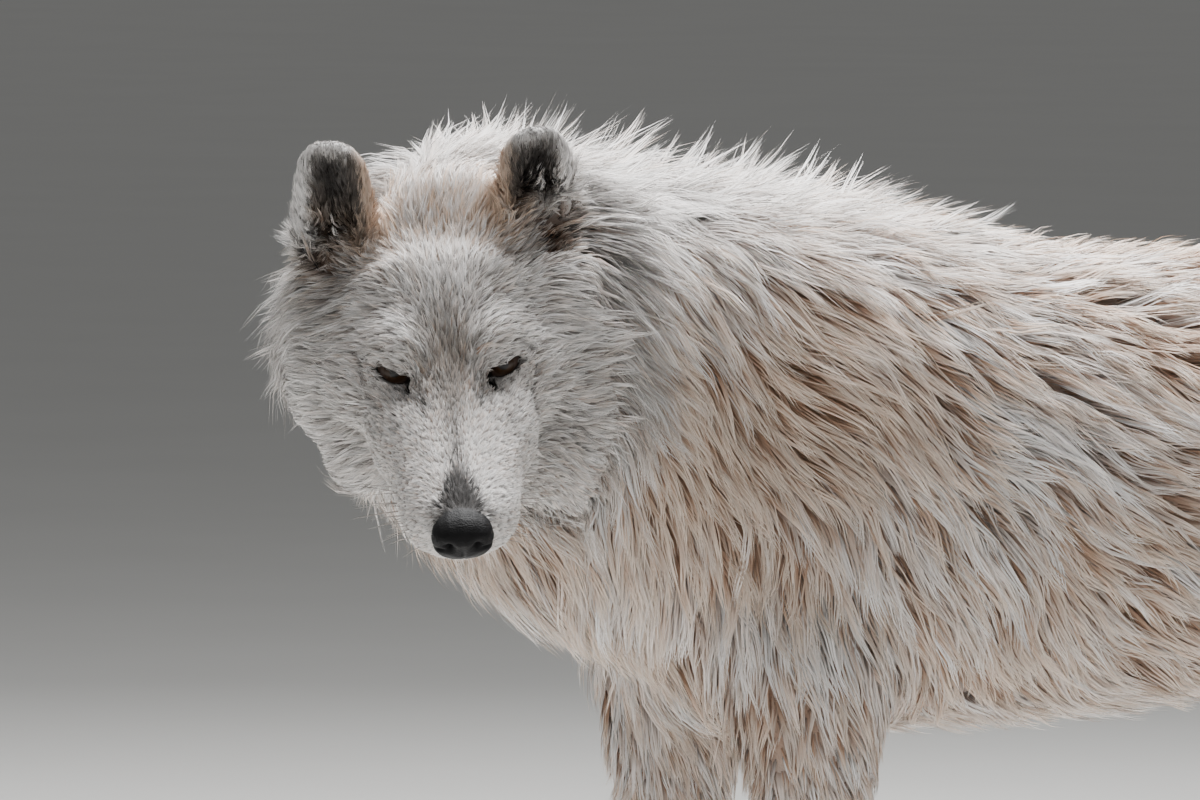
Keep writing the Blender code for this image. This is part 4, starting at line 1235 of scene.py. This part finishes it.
# name: share, slot, middle line, locks per m2, and the look of its hair in metres
REGIONS = {
    "muzzle": (muzzle_share, "face_coat", HEAD_LINE, 330000, dict(
        length=0.0060, steps=2, strands=3, spread=0.0012, clump=0.55, rise=1.2, twist=0.45, width=0.00062,
        skin_light=0.60, round=0.30, lift=1.00, stray=0.16)),
    "brow": (brow_share, "face_coat", HEAD_LINE, 175000, dict(
        length=0.0135, steps=3, strands=5, spread=0.0026, clump=0.86, rise=1.15, wave=0.0006, turns=0.8,
        twist=0.55, width=0.00066, skin_light=0.45, lift=1.00, stray=0.20)),
    "cheek": (cheek_share, "face_coat", HEAD_LINE, 88000, dict(
        length=0.0270, steps=3, strands=5, spread=0.0034, clump=0.78, rise=1.05, wave=0.0009, turns=0.8,
        twist=0.55, width=0.00085, lift=1.25, stray=0.16)),
    "ruff": (ruff_share, "face_coat", HEAD_LINE, 52000, dict(
        length=0.0440, steps=4, strands=6, spread=0.0056, clump=0.86, rise=1.00, wave=0.0016, turns=0.8,
        twist=0.55, width=0.00095, lift=1.45, stray=0.26, stiff=0.80)),
    "crown": (crown_share, "face_coat", HEAD_LINE, 70000, dict(
        length=0.0240, steps=3, strands=5, spread=0.0034, clump=0.88, rise=1.05, wave=0.0008, turns=0.7,
        twist=0.55, width=0.00080, skin_light=0.45, lift=1.50, stray=0.24)),
    "ears": (ear_face, "ear_coat", HEAD_LINE, 260000, dict(
        length=0.0110, steps=2, strands=4, spread=0.0020, clump=0.55, rise=1.2, width=0.00070,
        skin_light=0.45, lift=2.30, stray=0.16)),
    "neck": (neck_face, "body_coat", NECK_LINE, 17000, dict(
        length=0.0600, steps=5, strands=8, spread=0.0078, clump=0.82, rise=1.50, wave=0.0016,
        width=0.00120, stray=0.14)),
    "nape": (nape_share, "body_coat", NECK_LINE, 42000, dict(
        length=0.0340, steps=3, strands=5, spread=0.0048, clump=0.90, rise=1.0, wave=0.0012, turns=0.7,
        width=0.00105, lift=1.75, stray=0.32)),
    "crest": (crest_share, "body_coat", NECK_LINE, 7000, dict(
        length=0.0560, steps=4, strands=7, spread=0.0070, clump=0.92, rise=1.0, wave=0.0022, turns=0.7,
        width=0.00120, lift=1.55, stray=0.28)),
    "trunk": (trunk_face, "body_coat", BODY_LINE, 11600, dict(
        length=0.0600, steps=5, strands=8, spread=0.0084, clump=0.84, rise=1.65, wave=0.0024,
        width=0.00135, stray=0.12)),
    "tail": (tail_face, "body_coat", TAIL_LINE, 11000, dict(
        length=0.0620, steps=4, strands=8, spread=0.0090, clump=0.75, rise=1.25, wave=0.0020, turns=0.8,
        width=0.00150, stray=0.12)),
    "upper_legs": (upper_leg, "leg_coat", BODY_LINE, 17000, dict(
        length=0.0360, steps=3, strands=7, spread=0.0070, clump=0.72, rise=1.5, wave=0.0012, turns=0.8,
        width=0.00135, skin_light=0.45, stray=0.12)),
    "lower_legs": (lower_leg, "leg_coat", BODY_LINE, 74000, dict(
        length=0.0170, steps=2, strands=4, spread=0.0036, clump=0.66, rise=1.2, twist=0.45, width=0.00092,
        skin_light=0.50, round=0.30, stray=0.10)),
    "feet": (feet * furred_foot, "leg_coat", BODY_LINE, 135000, dict(
        length=0.0100, steps=2, strands=3, spread=0.0028, clump=0.50, rise=1.1, twist=0.45, width=0.00105,
        skin_light=0.50, round=0.30, lift=0.90, stray=0.14)),
}
PIECE_LIMIT = 190000      # triangles
print("regions:", ", ".join(REGIONS))


# %% Plant every region
def plant(name, number, share, slot, line, density, look):
    """Plants one region and cuts it into pieces along its middle line, none over the limit."""
    look = COMMON | look
    pick = np.random.default_rng(100 + number)
    chance = np.where(share > 0.06, share, 0) * face_area * open_skin
    locks = int(chance.sum() * density * ABUNDANCE)
    faces = np.sort(pick.choice(len(chance), locks, p=chance / chance.sum()))
    roots = roots_on(faces, pick)
    clear = eye_clear(into(HEAD, roots)) * bare_near(into(HEAD, roots), NOSE_IN_HEAD, 0.0180) > 0.5
    clear &= lip_clear(roots) > 0.5
    faces, roots = faces[clear], roots[clear]
    length = look["length"] * pick.uniform(0.75, 1.15, len(faces)) * short_face[faces]
    if name == "tail":      # where the hair points straight out of the skin it hardly lies along it
        length = length * (1 - 0.70 * smooth_step(-face_normal[faces, 2], 0.35, 0.85))
    guide = walk(faces, roots, length, look["steps"], pick.normal(0, look["stray"], len(faces)),
                 look["stiff"])
    ends_clear = eye_clear(into(HEAD, guide[0][:, -1])) * eye_clear(into(HEAD, guide[0][:, 1])) > 0.3
    faces, roots, length, guide = faces[ends_clear], roots[ends_clear], length[ends_clear], [
        rows[ends_clear] for rows in guide]
    look = dict(look, height=(face_depth * look["lift"] * (0.35 + 0.65 * short_face))[faces]
                * pick.uniform(0.70, 1.08, len(faces)))
    map_place = unwrapped(roots, *line)
    shade = pick.normal(0, 0.35, len(faces)).clip(-1, 1)
    root_marks = on_faces(marks)[faces]
    unlike = pick.normal(0, 0.6 if name == "ears" else 1.5, root_marks.shape)      # lock by lock
    root_marks = (root_marks + unlike * root_marks * (1 - root_marks)).clip(0, 1)
    per_lock = look["strands"] * (2 * look["steps"] - 1)
    order = np.argsort(map_place[:, 1], kind="stable")
    parts = max(1, math.ceil(len(faces) * per_lock / PIECE_LIMIT))
    for part, chosen in enumerate(np.array_split(order, parts)):
        made = ribbons([rows[chosen] for rows in guide], dict(look, height=look["height"][chosen]), pick)
        coat_piece(f"coat_{name}" + (f"_{part + 1}" if parts > 1 else ""), slot, made,
                   map_place[chosen], root_marks[chosen], shade[chosen])
    return len(faces) * per_lock


coat_total = sum(plant(name, number, *facts) for number, (name, facts) in enumerate(REGIONS.items()))
print("coat:", coat_total, "triangles")

# %% [markdown]
# ## Eyes
#
# A wolf's eye is a ball about 24 mm across: white only where the lids hide it, with a dark amber
# iris and a round black pupil below the clear cornea, which bulges a little. It is turned as a
# profile of angles around the line of sight, so the pupil's and the iris's edges are true
# circles. Beside the iris a wolf's white is brown, and it shows as little else than a dark edge.
# The iris and the white are painted far darker than their own amber and brown, as painted shade
# of the brows and lids over the eye. A thin clear coat stands for the cornea and catches the
# lamps as one small bright spot.

# %% Finishes of the eye
GAZE_UP = math.radians(17.0)
GAZE_OUT = math.radians(3.0)
PUPIL, IRIS = math.radians(14.0), math.radians(35.0)     # half angles seen from the ball's middle
BULGE = 0.0009      # how far the cornea stands out
EYE_SIDES = 48

eye_finishes = []
# Pupil, iris and white; the iris and the white carry painted shade of the brows and lids.
for name, first, second in (("pupil_black", "#040404", "#070606"), ("amber_iris", "#170D07", "#3C2611"),
                            ("white_of_the_eye", "#4A3A32", "#2E2420")):
    finish, tree, shader = new_finish(name, {"Roughness": 0.35, "Specular IOR Level": 0.25,
                                             "Coat Weight": 0.18, "Coat Roughness": 0.03})
    patchy(tree, shader, 1300.0, 3.0, first, second)      # fibres and veins, 0.8 mm apart
    eye_finishes.append(finish)
print("eye finishes:", [finish.name for finish in eye_finishes])


# %% Eyeballs
def turned_ball(name, rows, hand):
    """A ball turned around the line of sight; rows are (angle from it, radius)."""
    forward = (math.cos(GAZE_UP) * math.cos(GAZE_OUT), hand * math.sin(GAZE_OUT), math.sin(GAZE_UP))
    turn = HEAD.to_3x3() @ Vector(forward).to_track_quat("Z", "Y").to_matrix()
    centre = HEAD @ EYE_IN_HEAD[hand]
    bm = bmesh.new()
    loops = []
    for angle, radius in rows:
        ring = []
        for side in range(1 if math.sin(angle) < 1e-6 else EYE_SIDES):
            way = 2 * math.pi * side / EYE_SIDES
            ring.append(bm.verts.new(centre + turn @ Vector((
                math.cos(way) * math.sin(angle), math.sin(way) * math.sin(angle), math.cos(angle))) * radius))
        loops.append(ring)
    for number, (near, far) in enumerate(zip(loops, loops[1:])):
        for side in range(EYE_SIDES):
            after = side + 1
            corners = [near[side % len(near)], far[side % len(far)],
                       far[after % len(far)], near[after % len(near)]]
            face = bm.faces.new(list(dict.fromkeys(corners)))
            angle = rows[number][0]
            face.material_index = 0 if angle < PUPIL - 0.001 else 1 if angle < IRIS - 0.001 else 2
    bmesh.ops.recalc_face_normals(bm, faces=bm.faces)
    mesh = bpy.data.meshes.new(name)
    bm.to_mesh(mesh)
    bm.free()
    return finished(placed(name, mesh), "eye", *eye_finishes)


angles = [0.0, PUPIL / 2, *np.linspace(PUPIL, IRIS, 8), *np.linspace(IRIS, math.pi, 24)[1:]]
rows = [(angle, EYE_RADIUS + (BULGE * math.cos(angle / IRIS * math.pi / 2) ** 1.3
                              if angle < IRIS - 0.001 else 0.0)) for angle in angles]
for side, hand in HANDS.items():
    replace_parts(turned_ball("eyeball_" + side, rows, hand), "eye_" + side)
print("eyes:", round(EYE_RADIUS * 2000), "mm across")

# %% [markdown]
# ## Nose pad
#
# The nose is bare leather, nearly black, finely pebbled and a little moist. Its solid is melted
# into a fine even mesh, then two comma-shaped nostrils, the slits beside them and the groove
# between them are pressed in with the same smooth bumps as the face's folds.

# %% Finish of the nose
leather, tree, shader = new_finish("nose_leather", {"IOR": 1.45, "Specular IOR Level": 0.25})
damp = patchy(tree, shader, 160.0, 3.0, "#060607", "#0E0D0F")      # damp and dry spots of 6 mm
roughness = add_node(tree, "Math", {"operation": "MULTIPLY_ADD", "use_clamp": True,
                                    0: damp, 1: 0.25, 2: 0.50}, 0)
tree.links.new(roughness, shader.inputs["Roughness"])
place = add_node(tree, "TexCoord", output="Object")
pebbles = add_node(tree, "TexVoronoi", {"Scale": 900.0, "Vector": place}, "Distance")      # 1.1 mm across
bump = add_node(tree, "Bump", {"Strength": 0.55, "Distance": 0.0004, "invert": True, "Height": pebbles}, 0)
tree.links.new(bump, shader.inputs["Normal"])
print("nose finish:", leather.name)

# %% Shape the nose
NOSE_PRESS = (      # depth in metres, then middle and radii in the head's axes
    (0.0075, (0.128, 0.0086, -0.0445), (0.012, 0.0042, 0.0042)),       # nostril
    (0.0040, (0.122, 0.0140, -0.0480), (0.012, 0.0050, 0.0020)),       # slit beside it
    (0.0016, (0.128, 0.0, -0.0550), (0.012, 0.0014, 0.0110)),          # groove between the nostrils
    (-0.0008, (0.124, 0.0125, -0.0380), (0.010, 0.0050, 0.0040)),      # wing above the nostril
)
nose = melted(placed("nose_pad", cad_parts["nose"].data.copy()), voxel=0.0008, softening=16)
spots = array_of(nose.data.vertices, "co", 3)
ways = array_of(nose.data.vertices, "normal", 3)
press = domes(into(HEAD, spots), NOSE_PRESS)
push = ways * 0.4 + np.array(HEAD)[:3, 0] * 0.6      # partly along the normal, partly ahead
nose.data.vertices.foreach_set("co", (spots - push * press[:, None]).ravel())
nose.data.update()
nose.data.materials.clear()
finished(nose, "nose_leather", leather)
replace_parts(nose, "nose")
print("nose pad:", len(nose.data.polygons), "faces")

# %% [markdown]
# ## Lips, claws and whiskers
#
# Three small things are all tapered tubes along a path: the dark line where the closed lips meet,
# the blunt claws that a wolf cannot draw in, and the whiskers. One function turns any path and
# its radii into a closed tube.

# %% Tubes
def tube(path, radii, sides):
    """Points and triangles of a closed tube that follows this path."""
    path, radii = np.asarray(path, float), np.asarray(radii, float)
    ahead = unit(np.gradient(path, axis=0))
    helper = np.array((0.0, 0.0, 1.0)) if abs(ahead[0, 2]) < 0.8 else np.array((1.0, 0.0, 0.0))
    side = unit(np.cross(ahead, helper))
    over = np.cross(side, ahead)
    way = np.arange(sides) * 2 * math.pi / sides
    rings = path[:, None] + radii[:, None, None] * (
        side[:, None] * np.cos(way)[None, :, None] - over[:, None] * np.sin(way)[None, :, None])
    faces = ring_faces(len(path) - 1, sides)
    count = len(path) * sides
    after = (np.arange(sides) + 1) % sides
    first = np.stack([np.full(sides, count), after, np.arange(sides)], 1)
    last = np.stack([np.full(sides, count + 1), count - sides + np.arange(sides), count - sides + after], 1)
    return np.concatenate([rings.reshape(-1, 3), path[:1], path[-1:]]), np.concatenate([faces, first, last])


def tubes_piece(name, slot, finish, tubes):
    """Many tubes as one piece that rides with the body."""
    clouds, faces, total = [], [], 0
    for cloud, own in tubes:
        clouds.append(cloud), faces.append(own + total)
        total += len(cloud)
    mesh = mesh_of(name, np.concatenate(clouds), np.concatenate(faces))
    finished(placed(name, mesh), slot, finish)
    print(name + ":", len(mesh.polygons), "triangles")


print("tubes ready")

# %% Lips
tubes_piece("lips", "nose_leather", leather, [tube(lip_path, np.interp(
    np.linspace(0, 1, len(lip_path)), [0, 0.06, 0.94, 1], [0.0002, 0.0009, 0.0009, 0.0002]), 8)])

# %% Claws
# Keratin, worn smooth on the ground, with growth bands 4 mm apart.
horn, tree, shader = new_finish("claw_horn", {"Roughness": 0.38, "IOR": 1.54})
patchy(tree, shader, 260.0, 4.0, "#2E2824", "#6A5C50")
CLAW_LENGTH = 0.0155


def paw_claws(node):
    """Four claws from the toes of one paw."""
    scale, origin = PAW_SCALES[node], paw_origin(node)
    made = []
    for across, ahead, size in TOES:
        root = origin + np.array((across, ahead - size * 0.75, size * 1.05)) * scale
        t = np.linspace(0, 1, 8)
        reach, drop = CLAW_LENGTH * np.sin(t * 1.25) / 1.25, CLAW_LENGTH * 0.62 * t ** 2
        path = root + np.stack([across * 0.12 * t, -reach, -drop], 1)
        made.append(tube(path, 0.0031 * (1 - t) ** 0.45 + 0.0006, 10))
    return made


tubes_piece("claws", "nose_leather", horn, [claw for node in PAW_SCALES for claw in paw_claws(node)])

# %% Whiskers
# Stiff, glossier than the coat, dark in parts and pale in others.
whisker_hair, tree, shader = new_finish("whisker_hair", {"Roughness": 0.4, "IOR": 1.55})
patchy(tree, shader, 90.0, 2.0, "#4A433D", "#B5ACA3")


def whiskers(hand, pick):
    """Four rows of five whiskers on one side of the muzzle."""
    made = []
    for row in range(4):
        for number in range(5):
            spot = np.array((0.104 - 0.011 * number, hand * 0.07, -0.043 - 0.0055 * row))
            spot = spot + pick.normal(0, 0.0012, 3)
            way = -(HEAD.to_3x3() @ Vector((0.0, hand, 0.0)))
            hit = body_tree.ray_cast(HEAD @ Vector(spot), way)[0]
            if hit is None:
                continue
            t = np.linspace(0, 1, 7)[:, None]
            length = (0.016 + 0.006 * number) * pick.uniform(0.8, 1.2)
            out = np.array((-0.45 - 0.1 * number, hand * 0.8, -0.30 - 0.1 * row)) + pick.normal(0, 0.10, 3)
            bend = np.array((-0.5, 0.0, -0.45))
            path = np.array(hit) + turned(HEAD, (unit(out) * t + bend * 0.45 * t ** 2)) * length
            made.append(tube(path, 0.00022 * (1 - t.ravel()) ** 0.6 + 0.00004, 4))
    return made


pick = np.random.default_rng(7)
tubes_piece("whiskers", "face_coat", whisker_hair, whiskers(1, pick) + whiskers(-1, pick))

# %% [markdown]
# ## Floor, light and camera
#
# The museum stands the wolf on a plain pale floor in the middle of a room with large soft lamps.
# A broad lamp overhead whitens the crest and the back, a weaker one in front keeps the face
# readable, one behind lights the far side, and the world adds a little light from everywhere.

# %% Stage
def area_light(name, place, aim, size, power):
    """A round soft lamp; its size is in metres and its power in watts."""
    lamp = bpy.data.lights.new(name, "AREA")
    lamp.shape = "DISK"
    lamp.size = size
    lamp.energy = power
    holder = placed(name, lamp)
    holder.location = place
    holder.rotation_euler = (Vector(aim) - Vector(place)).to_track_quat("-Z", "Y").to_euler()


FLOOR_REACH = 45.0
plane = bpy.data.meshes.new("floor")
plane.from_pydata([(x * FLOOR_REACH, y * FLOOR_REACH, 0) for x, y in ((-1, -1), (1, -1), (1, 1), (-1, 1))],
                  [], [(0, 1, 2, 3)])
floor_finish, tree, shader = new_finish("matt_floor", {"Roughness": 0.9})
patchy(tree, shader, 3.0, 5.0, "#D8D7D4", "#DFDEDB")
plane.materials.append(floor_finish)
floor = placed("floor", plane)

area_light("overhead", (-0.45, 0.25, 3.1), (0, -0.1, 0.6), 1.8, 290)
area_light("front", (3.2, -3.0, 1.9), (0, -0.3, 0.6), 2.0, 16)
area_light("behind", (-2.6, 1.8, 2.4), (0, 0, 0.6), 1.6, 60)
world = bpy.data.worlds.new("room")
bpy.context.scene.world = world
world.use_nodes = True
tree = world.node_tree
background = tree.nodes["Background"]
background.inputs["Color"].default_value = linear("#E2E3E3")
# Paler overhead; at eye level as bright as the far floor looks, so that no horizon shows.
height = add_node(tree, "SeparateXYZ", {0: add_node(tree, "TexCoord", output="Generated")}, "Z")
sky = add_node(tree, "MapRange", {"From Min": 0.0, "From Max": 1.0, "To Min": 0.185, "To Max": 0.30,
                                  "Value": height}, 0)
tree.links.new(sky, background.inputs["Strength"])

# %% Camera
AZIMUTH = math.radians(56.0)
ELEVATION = math.radians(4.0)
DISTANCE = 7.5
LENS = 364.3         # in mm; a long lens, as an animal is seen from far off
AIM_RIGHT, AIM_NEAR, AIM_HEIGHT = -0.338, 0.385, 0.633      # the head's place as the camera sees it
SHIFTED = Vector((-0.0030, 0.0057, 0.0))                    # a last small move that centres it
away = Vector((math.sin(AZIMUTH), -math.cos(AZIMUTH), 0.0))
rightward = Vector((math.cos(AZIMUTH), math.sin(AZIMUTH), 0.0))
aim = rightward * AIM_RIGHT + away * AIM_NEAR + Vector((0, 0, AIM_HEIGHT)) + SHIFTED
from_aim = away * math.cos(ELEVATION) + Vector((0, 0, math.sin(ELEVATION)))
lens = bpy.data.cameras.new("camera")
lens.lens = LENS
lens.sensor_width = 36.0
camera = placed("camera", lens)
camera.location = aim + from_aim * DISTANCE
camera.rotation_euler = (-from_aim).to_track_quat("-Z", "Y").to_euler()
bpy.context.scene.camera = camera
print("camera", round(DISTANCE, 1), "m from the head")
